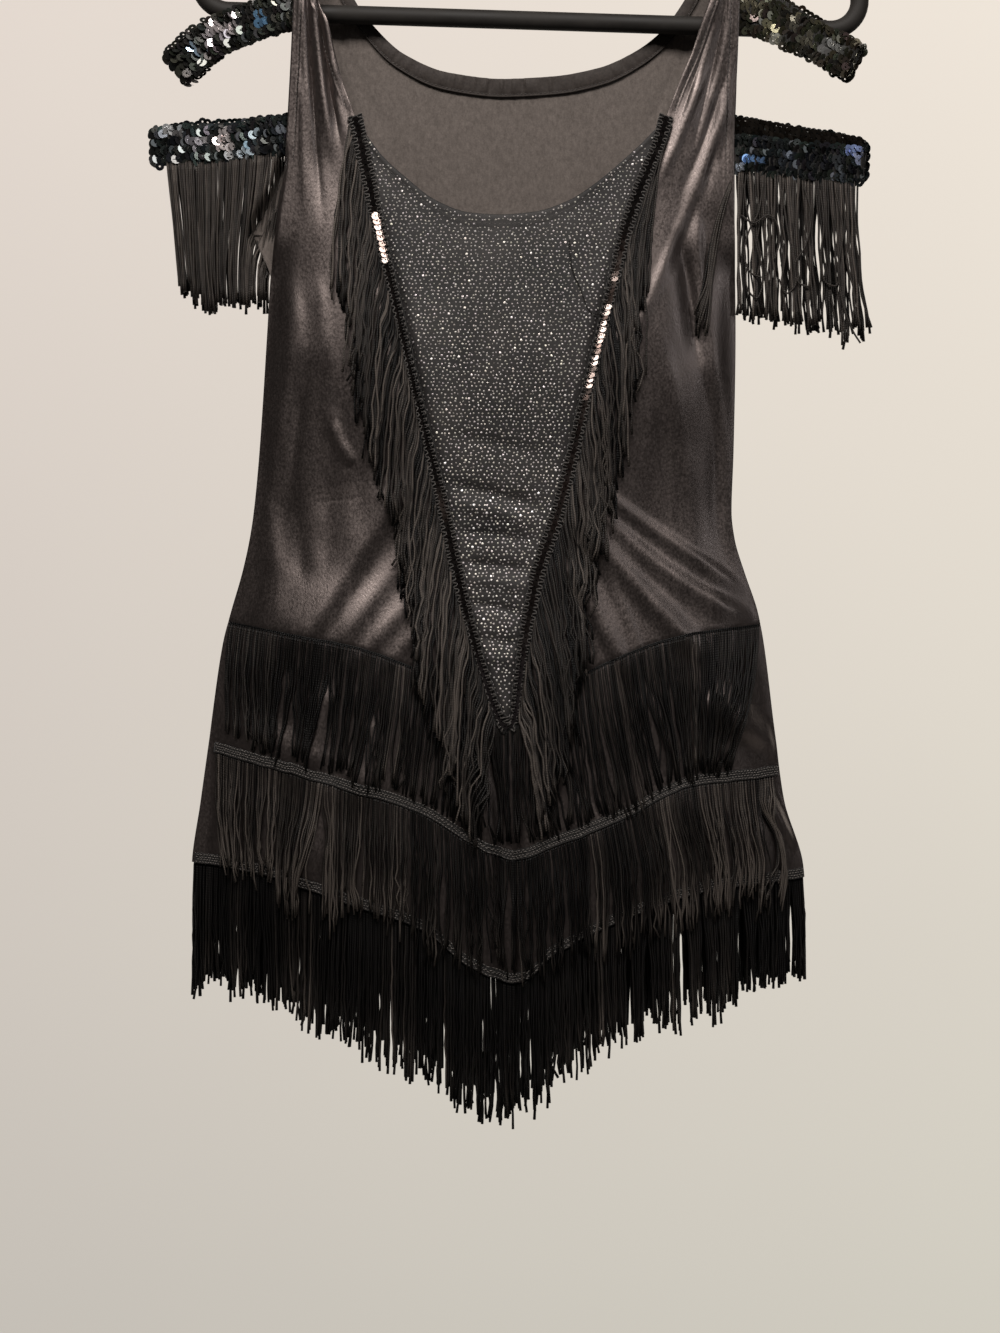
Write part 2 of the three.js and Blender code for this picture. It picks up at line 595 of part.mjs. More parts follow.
// ---------------------------------------------------------------- arm bands
// The loop's inner face in plan: front strip out, round end, back strip in.
function bandLoop(name, { high, reach, run }) {
  const front = column(run, 'x', 'front'), back = column(run, 'x', 'back');
  const a = run[0].x, b = run[run.length - 1].x, out = Math.sign(b - a);
  const stations = [];
  const slopeAt = (f, x) => (f(x) - f(x - out * 6)) / (out * 6) * out;
  for (let i = 0; i <= 7; i++) {
    const x = lerp(a, b, i / 7);
    stations.push({ x, y: -reach, z: front(x), s: slopeAt(front, x), n: [0, -1] });
  }
  const sEnd = slopeAt(front, b), long = Math.hypot(1, sEnd);
  for (let i = 1; i < 6; i++) {
    const t = (i / 6) * Math.PI;
    stations.push({
      x: b + out * reach * Math.sin(t) / long,
      y: -reach * Math.cos(t),
      z: lerp(front(b), back(b), i / 6) + reach * Math.sin(t) * sEnd / long,
      s: sEnd, n: [Math.sin(t), -Math.cos(t)],
    });
  }
  for (let i = 7; i >= 0; i--) {
    const x = lerp(a, b, i / 7);
    stations.push({ x, y: reach, z: back(x), s: slopeAt(back, x), n: [0, 1] });
  }
  const at = (u, v) => {
    const st = stations[Math.round(u * (stations.length - 1))];
    const long = Math.hypot(1, st.s);
    const along = new THREE.Vector3(out / long, 0, st.s / long);
    const up = new THREE.Vector3(-out * st.s / long, 0, 1 / long);
    return {
      p: new THREE.Vector3(st.x, st.y, st.z).addScaledVector(up, high * (0.5 - v)),
      n: along.multiplyScalar(st.n[0]).add(new THREE.Vector3(0, st.n[1], 0)),
    };
  };
  wall(name, LOOK.sequins, even(stations.length - 1), [0, 1], at, 0, BAND);
  return { front, back };
}
for (const hand of ['left', 'right']) {
  bandLoop(`arm_band_upper_${hand}`, BANDS[`upper_${hand}`]);
  const band = BANDS[`lower_${hand}`];
  const strip = bandLoop(`arm_band_lower_${hand}`, band);
  const { edges, tips } = BAND_FRINGE[hand];
  const from = column(edges, 'z', 'from'), to = column(edges, 'z', 'to'), tip = column(tips, 'u', 'z');
  for (const side of ['front', 'back']) {
    const out = side === 'front' ? -1 : 1;
    const at = (u, v) => {
      const start = lerp(from(-290), to(-290), u);
      const top = strip[side](start) - band.high / 2 - 3.2;
      const h = lerp(top, tip(u), v);
      return {
        p: new THREE.Vector3(lerp(from(h), to(h), u), out * band.reach, h),
        n: new THREE.Vector3(0, out, 0),
      };
    };
    wall(`band_fringe_${hand}_${side}`, LOOK.fringe, even(4), even(5), at, 0, 2.0);
  }
}

// ---------------------------------------------------------------- hanger
// One moulding, given as its tubes so that the space between them stays open.
function tube(name, points, radius, steps, sides = 12, curved = false) {
  const path = curved ? points : new THREE.LineCurve3(...points);
  const ring = new THREE.Shape(even(sides).slice(1).map((t) => {
    const a = (t + 0.5 / sides) * Math.PI * 2;
    return new THREE.Vector2(radius * Math.cos(a), radius * Math.sin(a));
  }));
  const mesh = new THREE.Mesh(
    new THREE.ExtrudeGeometry(ring, { steps, bevelEnabled: false, extrudePath: path, curveSegments: 1 }), LOOK.plastic);
  mesh.name = name;
  dress.add(mesh);
}
class Bend extends THREE.Curve {
  constructor(cx, cz, radius, a0, a1) { super(); Object.assign(this, { cx, cz, radius, a0, a1 }); }
  getPoint(t) {
    const a = lerp(this.a0, this.a1, t);
    return tilted(this.cx + this.radius * Math.cos(a), this.cz + this.radius * Math.sin(a));
  }
}
tube('hanger_bar', [tilted(-END_X, -BAR_DROP), tilted(END_X, -BAR_DROP)], TUBE_R, 1);
for (const [hand, s] of [['left', -1], ['right', 1]]) {
  const low = -Math.PI / 2, high = Math.PI / 2 - ARM_SLOPE, cut = 0.018;
  const a0 = s > 0 ? low + cut : -Math.PI - low - cut, a1 = s > 0 ? high - cut : -Math.PI - high + cut;
  tube(`hanger_end_${hand}`, new Bend(s * END_X, -BAR_DROP + END_R, END_R, a0, a1), TUBE_R, 8, 12, true);
  const start = NECK_R + GAP + TUBE_R * Math.sin(ARM_SLOPE);
  tube(`hanger_arm_${hand}`, [
    tilted(s * bendEnd[0], bendEnd[1]),
    tilted(s * start, NECK_Z - start * Math.tan(ARM_SLOPE)),
  ], TUBE_R, 1);
}
tube('hanger_neck', [tilted(0, NECK_Z - 9), tilted(0, NECK_Z + 13)], NECK_R, 1, 16);
{
  const r = HOOK_R + HOOK_TUBE_R, stem = NECK_Z + 13 + GAP, side = THREE.MathUtils.degToRad(-50);
  const bend = even(9).map((t) => {
    const a = lerp(side, THREE.MathUtils.degToRad(200), t);
    return tilted(r * Math.cos(a), -HOOK_R + r * Math.sin(a));
  });
  const path = new THREE.CatmullRomCurve3([
    tilted(0, stem), tilted(0, stem + 10), tilted(1.5, -HOOK_R - r - 9), ...bend,
  ], false, 'centripetal');
  tube('hanger_hook', path, HOOK_TUBE_R, 22, 8, true);
}

export default dress;
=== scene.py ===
import math

import bpy
import numpy as np
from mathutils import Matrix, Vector


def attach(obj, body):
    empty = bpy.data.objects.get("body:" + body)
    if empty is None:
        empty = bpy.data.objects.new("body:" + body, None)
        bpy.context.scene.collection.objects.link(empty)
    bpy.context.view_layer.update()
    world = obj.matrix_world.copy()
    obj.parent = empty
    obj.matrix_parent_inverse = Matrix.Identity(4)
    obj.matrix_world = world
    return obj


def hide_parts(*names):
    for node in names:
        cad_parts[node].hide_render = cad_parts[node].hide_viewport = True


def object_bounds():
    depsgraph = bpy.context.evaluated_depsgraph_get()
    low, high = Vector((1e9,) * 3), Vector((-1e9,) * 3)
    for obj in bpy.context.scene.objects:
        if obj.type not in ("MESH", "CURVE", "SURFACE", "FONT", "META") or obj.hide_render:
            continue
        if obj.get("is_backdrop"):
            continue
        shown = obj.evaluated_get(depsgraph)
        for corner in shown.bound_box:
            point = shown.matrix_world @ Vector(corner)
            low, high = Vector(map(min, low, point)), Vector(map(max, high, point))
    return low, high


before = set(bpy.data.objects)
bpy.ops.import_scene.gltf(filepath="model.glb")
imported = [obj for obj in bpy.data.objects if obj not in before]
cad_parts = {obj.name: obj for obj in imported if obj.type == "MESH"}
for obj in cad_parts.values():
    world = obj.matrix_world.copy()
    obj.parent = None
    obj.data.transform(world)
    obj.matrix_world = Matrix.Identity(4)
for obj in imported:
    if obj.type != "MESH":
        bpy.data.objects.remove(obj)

CAD_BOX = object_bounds()
MM = 0.001

# ------------------------------------------------------------------ sizes
GAP = 0.3
CLOTH = 1.2          # outer face of the cloth above the panels' inner surface
THIN = 0.6           # satin itself
TAPE_H = 6.2
CURTAIN = 2.2
TRIM_W = 9.6
LENS = 2.4
TUBE_R = 5.75
HANGER_SPAN = 427.0
END_R = 18.25
BAR_DROP = 208.0
ARM_SLOPE = math.radians(20)
TILT = math.radians(1.8)
HOOK_R = 20.0
HOOK_TUBE_R = 4.0
NECK_R = 8.0
TRIM_TOP = -271.0
APEX_Z = -646.0
APEX_X = -19.8

# z, left, right
OUTLINE = [
    (-130, -150.5, 123.5), (-195, -153.6, 124.4), (-260, -157.0, 122.6), (-283, -158.4, 122.0),
    (-295, -161.0, 122.0), (-318, -168.5, 122.0), (-335, -178.0, 122.1), (-342, -181.0, 122.3),
    (-356, -174.8, 122.6), (-371, -169.3, 123.0), (-403, -171.0, 123.3), (-480, -176.0, 122.0),
    (-518, -179.6, 120.7), (-534, -182.0, 122.5), (-556, -186.8, 129.0), (-580, -193.8, 137.2),
    (-600, -199.0, 141.0), (-655, -207.0, 147.8), (-700, -213.3, 154.0), (-740, -218.8, 166.0),
    (-770, -219.5, 167.8), (-900, -219.5, 169.0)]
# z, edge of the front panel at -X where it folds in front of the armhole's corner
FOLD_EDGE = [
    (-130, -150.5), (-195, -153.6), (-260, -157.0), (-283, -158.4), (-300, -159.6), (-328, -163.6),
    (-350, -166.6), (-371, -169.1), (-403, -171.0), (-480, -176.0), (-518, -179.6), (-534, -182.0),
    (-556, -186.8), (-580, -193.8), (-600, -199.0), (-655, -207.0)]
# z, front, back, edge: half thickness of the hanging dress
THICKNESS = [
    (-130, 6.4, 6.4, 6.4), (-195, 9.2, 9.0, 8.6), (-215, 9.8, 9.3, 8.6), (-240, 11.6, 9.6, 8.0),
    (-275, 14.0, 10.2, 7.2), (-303, 15.5, 10.6, 6.9), (-335, 17.0, 11.0, 5.9), (-352, 17.6, 11.2, 4.0),
    (-372, 18.0, 11.4, 0.15), (-420, 19.0, 11.7, 0.15), (-500, 19.0, 12.0, 0.15),
    (-590, 22.0, 13.0, 0.15), (-660, 23.5, 14.0, 0.15), (-740, 25.0, 15.0, 0.15), (-900, 26.5, 16.5, 0.15)]
# z, left, right: neck edge of the straps, then the V seams
INNER_EDGE = [
    (-130, -134.5, 109.5), (-170, -135.5, 108.0), (-197, -137.4, 106.0), (-211, -132.8, 101.6),
    (-231, -128.0, 94.9), (-250, -122.4, 86.8), (-271, -115.3, 79.0), (-287, -111.6, 74.6),
    (-305, -107.5, 67.1), (-340, -100.3, 54.0), (-380, -91.0, 44.2), (-440, -77.4, 29.8),
    (-515, -60.0, 12.0), (-558, -50.8, -1.7), (-590, -43.0, -8.3), (-615, -36.0, -12.0),
    (-635, -29.8, -14.4), (-646, -25.0, -16.6), (-652, -21.0, -18.9)]
# share across the inset, z
INSET_NECK = [
    (0.0, -272.0), (0.055, -294.4), (0.13, -309.3), (0.235, -324.3), (0.365, -332.3), (0.49, -333.6),
    (0.625, -331.7), (0.75, -324.3), (0.84, -311.8), (0.925, -293.2), (1.0, -272.0)]
# share across the dress, z
BACK_NECK = [
    (0.067, -156.0), (0.1, -172.0), (0.13, -192.0), (0.172, -207.6), (0.25, -227.0), (0.355, -238.7),
    (0.48, -242.5), (0.6, -240.6), (0.695, -235.5), (0.767, -226.6), (0.823, -215.2), (0.885, -192.4),
    (0.92, -170.0), (0.945, -157.0)]
STRAP_U = (0.067, 0.945)
# share across, hip seam, tape 2, tape 3, tips of tier 2, tips of tier 3
SKIRT = [
    (0.0, -586.5, -661.0, -731.5, -745.0, -804.0), (0.125, -593.7, -670.5, -736.7, -751.0, -824.0),
    (0.25, -601.5, -683.0, -752.0, -763.0, -842.0), (0.375, -617.0, -696.5, -768.0, -777.0, -866.0),
    (0.46, -633.5, -716.0, -793.0, -799.0, -883.0), (0.527, -652.0, -727.0, -803.0, -808.0, -889.0),
    (0.59, -635.0, -719.0, -784.0, -800.0, -871.0), (0.7, -612.0, -704.0, -763.0, -784.0, -846.0),
    (0.85, -594.5, -681.5, -746.0, -762.0, -825.0), (1.0, -588.0, -677.0, -741.0, -757.0, -804.0)]
# z, left, right: outer reach of the strands from the V seams
V_FRINGE = [
    (-284, -121.5, 82.0), (-300, -125.5, 79.5), (-340, -127.5, 75.0), (-378, -128.5, 68.0),
    (-402, -118.0, 62.4), (-440, -113.2, 59.0), (-480, -107.5, 54.5), (-510, -97.0, 48.0),
    (-540, -87.5, 37.0), (-575, -84.5, 30.0), (-620, -77.0, 27.0), (-670, -62.0, 19.0), (-722, -44.0, 3.0)]

# Folds: x1, z1, x2, z2, half width, height, bow sideways, steepness of the lower or outer side
FOLDS_FRONT = [
    # left strap, fanning down to the V
    (-148.5, -170, -141, -300, 2.7, 1.89, 1.5, 0.2),
    (-143, -166, -128, -306, 2.34, 2.46, 2, 0.3),
    (-138.5, -180, -118, -292, 2.16, 2.03, 1, 0.3),
    (-146, -185, -134, -350, 2.34, -1.74, 1.5, 0),
    (-141, -182, -122, -300, 1.8, -1.89, 1, 0),
    (-137, -196, -115, -268, 1.62, 1.3, 0.5, 0.2),
    (-151, -230, -146, -345, 2.7, 1.01, -1, 0.1),
    # right strap, falling inwards to the V
    (121, -166, 112, -300, 3.1, 1.1, 1, 0.2),
    (117, -172, 86, -290, 2.9, 1.25, -1.5, 0.3),
    (119.5, -185, 92, -306, 2.3, -1.3, -1, 0),
    (113, -186, 80, -268, 2.2, 0.85, -0.5, 0.2),
    (114, -194, 84, -284, 1.8, -1.1, -0.5, 0),
    (119.5, -210, 92, -312, 2.3, 0.75, -0.8, 0.2),
    (121, -232, 84, -330, 2.6, -1.1, -1.2, 0),
    (106, -236, 74, -314, 2.4, 0.9, -1.0, 0.2),
    (116, -270, 78, -376, 3.6, -1.6, -2, 0),
    (116, -262, 95, -352, 3.2, 1.2, 2.5, 0.2),
    (122, -226, 110, -306, 2.4, 0.9, 0.6, 0.2),
    (98, -322, 103, -424, 4.4, 1.8, 1.0, 0.2),
    (86, -340, 100, -432, 5.6, -4.6, -1.5, 0.1),
    # left side: long soft lights and the dark run to the waist
    (-143.0, -416, -161, -556, 7.0, -2.9, 3.0, 0.2),
    (-126.0, -470, -117, -560, 9.0, 1.3, -2.0, 0.1),
    (-153.0, -372, -150, -462, 5.5, 1.0, -1.5, 0.2),
    (-136.5, -368, -129, -440, 4.5, 0.9, 1.5, 0.2),
    (-130.0, -450, -118, -492, 5.0, 1.0, 1.0, 0.1),
    (-160.0, -440, -168, -520, 6.0, 0.8, 1.0, 0.1),
    (-146.0, -512, -104, -509, 1.0, -0.10, 0.6, 0.0),
    # left hip: small dents
    (-151.0, -500, -146, -570, 5.0, -0.9, 1.5, 0.1),
    (-172.0, -500, -166, -566, 5.0, 0.8, -1.5, 0.1),
    (-134.0, -512, -140, -560, 4.0, 0.7, 1.0, 0.1),
    # right side and hip: curved ridges that drop to the seam
    (97.0, -404, 118, -566, 8.0, -3.4, -3.0, 0.1),
    (108.0, -400, 128, -548, 5.0, 1.0, -3.0, 0.2),
    (72.0, -400, 92, -520, 7.0, 1.1, -4.0, 0.2),
    # soft folds across the point of the inset
    (-66.0, -470, 14, -486, 5.0, -1.1, -2.0, 0.3),
    (-64.0, -500, 8, -518, 4.2, -2.0, -2.0, 0.3),
    (-58.0, -512, 6, -528, 3.6, 1.4, -1.5, 0.2),
    (-56.0, -530, 2, -538, 3.4, -1.5, -1.5, 0.2),
    (-52.0, -550, 0, -556, 3.6, -2.0, -1.5, 0.3),
    (-50.0, -560, -2, -566, 3.0, 1.3, -1.0, 0.2),
    (-48.0, -574, -4, -584, 3.2, -1.9, -1.5, 0.3),
    (-44.0, -596, -6, -602, 3.0, -1.6, -1.0, 0.2),
    (-42.0, -608, -10, -612, 2.6, 1.0, -1.0, 0.2),
    # skirt: runs that shine through the fringe
    (-147.0, -626, -158, -684, 4.0, 2.0, 1.0, 0.3),
    (-126.0, -620, -144, -690, 5.0, 2.1, 2.0, 0.3),
    (-96.0, -650, -112, -706, 4.4, 1.9, 1.0, 0.3),
    (-136.0, -700, -150, -758, 5.4, 2.1, 2.0, 0.3),
    (-150.0, -640, -170, -676, 4.0, -1.2, 1.0, 0.0),
    (-40.0, -676, -28, -724, 5.0, 1.8, 1.0, 0.2),
    (8.0, -668, 30, -712, 4.4, 1.7, 1.5, 0.2),
    (60.0, -622, 88, -688, 5.4, 1.8, -2.0, 0.3),
    (108.0, -616, 142, -668, 5.2, 2.4, -3.0, 0.35),
    (128.0, -640, 146, -672, 3.6, -1.2, -1.0, 0.0),
    (140.0, -692, 158, -728, 4.2, 1.9, -2.0, 0.3),
    (146.0, -684, 163, -716, 3.0, -1.0, -1.0, 0.0),
    (-212.0, -700, -196, -732, 4.2, 1.5, 1.0, 0.2),
]
FOLDS_BACK = [
    (-146.0, -172, -112, -318, 3.6, 1.7, 2.0, 0.3),
    (-140.0, -180, -88, -296, 3.2, 1.3, 2.0, 0.3),
    (-143.0, -190, -104, -330, 2.8, -1.2, 2.0, 0.0),
    (119.0, -172, 84, -330, 3.8, 1.8, -2.0, 0.3),
    (112.0, -180, 62, -288, 3.2, 1.3, -2.0, 0.3),
    (116.0, -190, 76, -322, 2.8, -1.2, -2.0, 0.0),
    (-150.0, -420, -120, -566, 9.0, -1.5, 4.0, 0.2),
    (-134.0, -400, -128, -540, 6.5, 1.2, 2.0, 0.2),
    (104.0, -400, 82, -560, 9.0, 1.6, 4.0, 0.2),
    (88.0, -380, 92, -520, 6.0, -1.0, -3.0, 0.0),
    (-168.0, -586, -96, -530, 5.0, 2.2, 4.0, 0.35),
    (-160.0, -590, -90, -542, 3.6, -1.4, 4.0, 0.0),
    (-150.0, -596, -78, -552, 4.4, 1.7, 3.0, 0.3),
    (-120.0, -606, -66, -572, 4.0, 1.3, 2.0, 0.3),
    (42.0, -540, 118, -580, 5.0, 2.3, -6.0, 0.35),
    (38.0, -550, 104, -590, 3.6, -1.4, -5.0, 0.0),
    (30.0, -556, 88, -600, 4.4, 1.8, -4.0, 0.3),
    (20.0, -580, 62, -614, 3.8, 1.3, -2.0, 0.3),
    (-30.0, -430, -22, -600, 10.0, -1.8, 2.0, 0.1),
    (-8.0, -460, 2, -610, 8.0, 1.1, -2.0, 0.1),
    (-62.0, -440, -52, -590, 8.0, 1.0, 2.0, 0.1),
    (-70.0, -300, -40, -400, 7.0, 0.8, 3.0, 0.1),
    (40.0, -296, 20, -410, 7.0, 0.9, -3.0, 0.1),
    (-90.0, -640, -102, -700, 5.0, 1.7, 1.0, 0.3),
    (-150.0, -620, -166, -690, 5.0, 1.8, 1.0, 0.3),
    (-30.0, -676, -22, -724, 5.0, 1.6, 1.0, 0.2),
    (50.0, -640, 64, -700, 5.0, 1.7, -1.0, 0.3),
    (112.0, -616, 132, -672, 5.0, 1.9, -1.0, 0.3),
    (-140.0, -700, -152, -752, 5.0, 1.5, 1.0, 0.3),
    (120.0, -690, 134, -744, 5.0, 1.5, -1.0, 0.3),
]

# Shingled folds: side, x1, z1, x2, z2, gentle side, steep side, height, bow.
# The gentle side lies to the left of the line's direction, the steep one to its right.
CREASES = [
    # left hip, climbing to the V
    ("front", -151.4, -606, -84.0, -502, 26.0, 10.0, 4.0, 0.0),
    ("front", -133.0, -610.0, -71.2, -529.0, 9.0, 7.6, 1.7, 0.5),
    ("front", -117.0, -616.0, -69.0, -562.0, 8.0, 4.8, 1.4, 0.3),
    ("front", -102.0, -622, -66.0, -584, 6.0, 3.2, 1.0, 0.2),
    ("front", -130.0, -464, -117.5, -489, 6.0, 3.8, 1.6, 0.3),
    # right hip, dropping from the V
    ("front", 32.0, -501, 130.0, -567, 4.6, 8.0, 1.85, 1.0),
    ("front", 26.0, -505, 139.0, -587, 6.2, 11.0, 2.55, 9.0),
    ("front", 20.0, -518, 101.0, -607, 9.5, 10.0, 3.8, 1.0),
    ("front", 32.0, -538, 64.0, -612, 4.2, 4.6, 1.4, -2.0),
    ("front", 18.0, -552, 55.0, -622, 12.0, 4.8, 3.1, 0.0),
    # the long fold from the strap to the V, and the small one beside it
    ("front", 122.0, -252, 56.0, -412, 4.5, 6.5, 1.0, -2.0),
    # skirt, where the satin shines between the strands
    ("front", -164.0, -665, -156.0, -620, 7.0, 4.0, 2.2, 0.5),
    ("front", -139.5, -676, -131.5, -628, 7.5, 4.0, 2.6, 0.5),
    ("front", -111.0, -690, -103.0, -646, 7.0, 4.0, 2.2, 0.5),
    ("front", -142.0, -748, -129.0, -684, 11.0, 4.0, 3.0, 1.0),
    ("front", -30.0, -724, -44.0, -664, 8.0, 4.0, 1.8, 0.0),
    ("front", 104.0, -634, 157.0, -672, 13.0, 9.0, 5.0, 0.0),
    ("front", 138.0, -692, 162.0, -728, 7.0, 5.0, 3.4, 0.0),
    ("back", -160.0, -600, -96.0, -530, 26.0, 7.0, 3.0, 1.0),
    ("back", -138.0, -606, -78.0, -552, 12.0, 4.5, 2.0, 0.5),
    ("back", 36.0, -530, 120.0, -584, 10.0, 7.0, 2.4, 6.0),
    ("back", 26.0, -552, 84.0, -604, 9.0, 5.0, 2.0, 1.0),
    ("back", -120.0, -690, -110.0, -640, 8.0, 4.0, 2.2, 0.5),
    ("back", 70.0, -700, 56.0, -644, 8.0, 4.0, 2.2, 0.5),
]

# Broad swells: side, x1, z1, x2, z2, half width, height
SWELLS = [
    ("front", -146, -612, -100, -622, 62, 9.5, 3.6), ("front", 46, -626, 116, -612, 54, 5.8, 3.6),
    ("front", -146, -166, -138, -166, 60, 3.4), ("front", 108, -168, 116, -168, 60, 8.0), ("front", -184, -664, -191, -752, 17, 3.4), ("front", -160, -436, -100, -432, 82, 7.4),
    ("front", 62, -416, 104, -420, 66, 5.0), ("front", -146, -440, -128, -500, 17, -1.6),
    ("front", -152, -594, -122, -588, 32, 2.6),
    ("front", -147, -262, -137, -330, 22, 0.7), ("front", -130, -300, -120, -330, 12, -1.0),
    ("front", 100, -260, 70, -300, 14, 1.2), ("front", 104, -340, 92, -420, 16, -1.6),
    ("front", 112, -430, 118, -520, 14, 1.0), ("front", 84, -480, 70, -520, 20, -1.4),
    ("back", -150, -606, -60, -618, 42, 6.0, 3.6), ("back", 20, -620, 110, -606, 42, 6.0, 3.6),
    ("front", -163, -664, -165, -668, 13, 2.6), ("front", -138, -676, -140, -682, 14, 3.0), ("front", -110, -686, -112, -690, 12, 2.4),
    ("front", -142, -734, -149, -756, 20, 4.0), ("front", -26, -728, -26, -732, 14, 2.4), ("front", 150, -718, 158, -728, 13, 3.0), ("front", 146, -636, 160, -668, 34, 5.5),
    ("front", -206, -744, -200, -740, 12, 2.4), ("front", 84, -700, 90, -704, 15, 2.6), ("front", 30, -716, 34, -722, 13, 2.4),
    ("back", -150, -690, -156, -700, 18, 3.0), ("back", -70, -700, -72, -712, 20, 2.6), ("back", 60, -704, 66, -712, 18, 3.0),
    ("back", -20, -420, -16, -520, 24, -2.4), ("back", -90, -320, -60, -440, 22, 1.6), ("back", 50, -330, 60, -430, 20, 1.5),
]

# Arm bands: high, reach, then x, front z, back z from the strap outwards
BANDS = {
    "upper_left": (23.0, 6.2, [(-149.5, -201.5, -199.0), (-178.0, -209.5, -205.0), (-203.0, -219.0, -217.0), (-223.8, -235.0, -234.0)]),
    "upper_right": (23.0, 6.2, [(118.5, -202.0, -198.0), (141.0, -208.5, -199.5), (165.0, -219.5, -211.5), (194.0, -233.0, -231.0)]),
    "lower_left": (22.5, 4.3, [(-152.5, -280.0, -279.0), (-180.0, -283.5, -280.5), (-210.0, -287.0, -282.5), (-239.0, -288.5, -285.0)]),
    "lower_right": (22.5, 4.3, [(118.5, -292.5, -279.0), (145.0, -295.0, -283.0), (172.0, -298.0, -288.0), (200.7, -300.5, -292.5)]),
}
# Fringe of the lower bands: z, from, to; then share, tip z
BAND_FRINGE = {
    "left": ([(-280, -236.0, -164.0), (-318, -232.0, -173.5), (-336, -230.0, -186.5), (-350, -228.5, -186.5), (-374, -226.0, -178.0), (-400, -223.5, -178.0)],
             [(0.0, -380.0), (0.35, -387.0), (1.0, -386.0)]),
    "right": ([(-280, 124.9, 198.5), (-340, 125.2, 200.5), (-408, 125.8, 206.0)],
              [(0.0, -391.0), (0.5, -400.0), (1.0, -406.0)]),
}


# ------------------------------------------------------------------ numbers
def lerp(a, b, t):
    return a + (b - a) * t


def smooth(t):
    c = np.clip(t, 0.0, 1.0)
    return c * c * (3 - 2 * c)


def column(rows, k, v):
    """A smooth line through one column of a table, with no overshoot."""
    r = sorted((float(row[k]), float(row[v])) for row in rows)
    x, y = np.array([a for a, _ in r]), np.array([b for _, b in r])
    d = np.diff(y) / np.diff(x)
    m = np.zeros(len(x))
    m[0], m[-1] = d[0], d[-1]
    for i in range(1, len(x) - 1):
        m[i] = 0.0 if d[i - 1] * d[i] <= 0 else 2 * d[i - 1] * d[i] / (d[i - 1] + d[i])

    def f(q):
        q = np.clip(np.asarray(q, float), x[0], x[-1])
        i = np.clip(np.searchsorted(x, q, side="right") - 1, 0, len(x) - 2)
        h = x[i + 1] - x[i]
        t = (q - x[i]) / h
        return ((1 + 2 * t) * (1 - t) ** 2 * y[i] + t * (1 - t) ** 2 * h * m[i]
                + t * t * (3 - 2 * t) * y[i + 1] + t * t * (t - 1) * h * m[i + 1])
    return f


edge = {"left": column(OUTLINE, 0, 1), "right": column(OUTLINE, 0, 2)}
fold_edge = {"left": column(FOLD_EDGE, 0, 1), "right": edge["right"]}
inner = {"left": column(INNER_EDGE, 0, 1), "right": column(INNER_EDGE, 0, 2)}
def eased(f, reach, z_from=-920.0, z_to=-120.0):
    """The same line averaged over a short height, so its slope has no kinks."""
    z = np.arange(z_from, z_to, 1.0)
    w = np.exp(-(np.arange(-3 * reach, 3 * reach + 1) / reach) ** 2)
    y = np.pad(f(z), 3 * reach, mode="reflect", reflect_type="odd")
    smoothed = np.convolve(y, w / w.sum(), mode="valid")
    m = np.gradient(smoothed)

    def g(q):
        p = np.clip((np.asarray(q, float) - z[0]), 0, len(z) - 1.001)
        i = p.astype(int)
        t = p - i
        return ((1 + 2 * t) * (1 - t) ** 2 * smoothed[i] + t * (1 - t) ** 2 * m[i]
                + t * t * (3 - 2 * t) * smoothed[i + 1] + t * t * (t - 1) * m[i + 1])
    return g


half = {"front": eased(column(THICKNESS, 0, 1), 16), "back": eased(column(THICKNESS, 0, 2), 16),
        "edge": eased(column(THICKNESS, 0, 3), 8), "eased_edge": eased(column(THICKNESS, 0, 3), 80)}
hull = {"left": eased(fold_edge["left"], 12), "right": eased(edge["right"], 12)}
line = {n: column(SKIRT, 0, i + 1) for i, n in enumerate(("hip", "tape2", "tape3", "tips2", "tips3"))}
reach_of = {"left": column(V_FRINGE, 0, 1), "right": column(V_FRINGE, 0, 2)}
neckline = column(INSET_NECK, 0, 1)
back_neck = column(BACK_NECK, 0, 1)


def across(u, h):
    return lerp(edge["left"](h), edge["right"](h), u)


def share(x, h):
    l, r = edge["left"](h), edge["right"](h)
    return (x - l) / (r - l)


def tilted(x, z):
    return (x * math.cos(TILT) + z * math.sin(TILT), -x * math.sin(TILT) + z * math.cos(TILT))


END_X = HANGER_SPAN / 2 - END_R - TUBE_R
BEND_END = (END_X + END_R * math.sin(ARM_SLOPE), -BAR_DROP + END_R + END_R * math.cos(ARM_SLOPE))
NECK_Z = BEND_END[1] + BEND_END[0] * math.tan(ARM_SLOPE)
NECK = tilted(0, NECK_Z)
WRAP_R = TUBE_R + 0.6
WRAP = WRAP_R * math.pi / 2 - GAP / 2


def arm_height(x):
    x = np.asarray(x, float)
    return np.where(x < NECK[0], NECK[1] - (NECK[0] - x) * math.tan(ARM_SLOPE - TILT),
                    NECK[1] - (x - NECK[0]) * math.tan(ARM_SLOPE + TILT))


def ripple(x, z, seed, waves, amp):
    """Small uneven waves; waves are (shortest, longest) in mm, mostly upright."""
    rng = np.random.default_rng(seed)
    total = np.zeros(np.broadcast(x, z).shape)
    for _ in range(7):
        size = rng.uniform(*waves)
        lean = rng.normal(0, 0.35)
        total = total + np.sin(2 * math.pi * (x + lean * z) / size + rng.uniform(0, 6.28)
                               + 1.3 * np.sin(z / rng.uniform(24, 60) + rng.uniform(0, 6.28)))
    return amp * total / 7


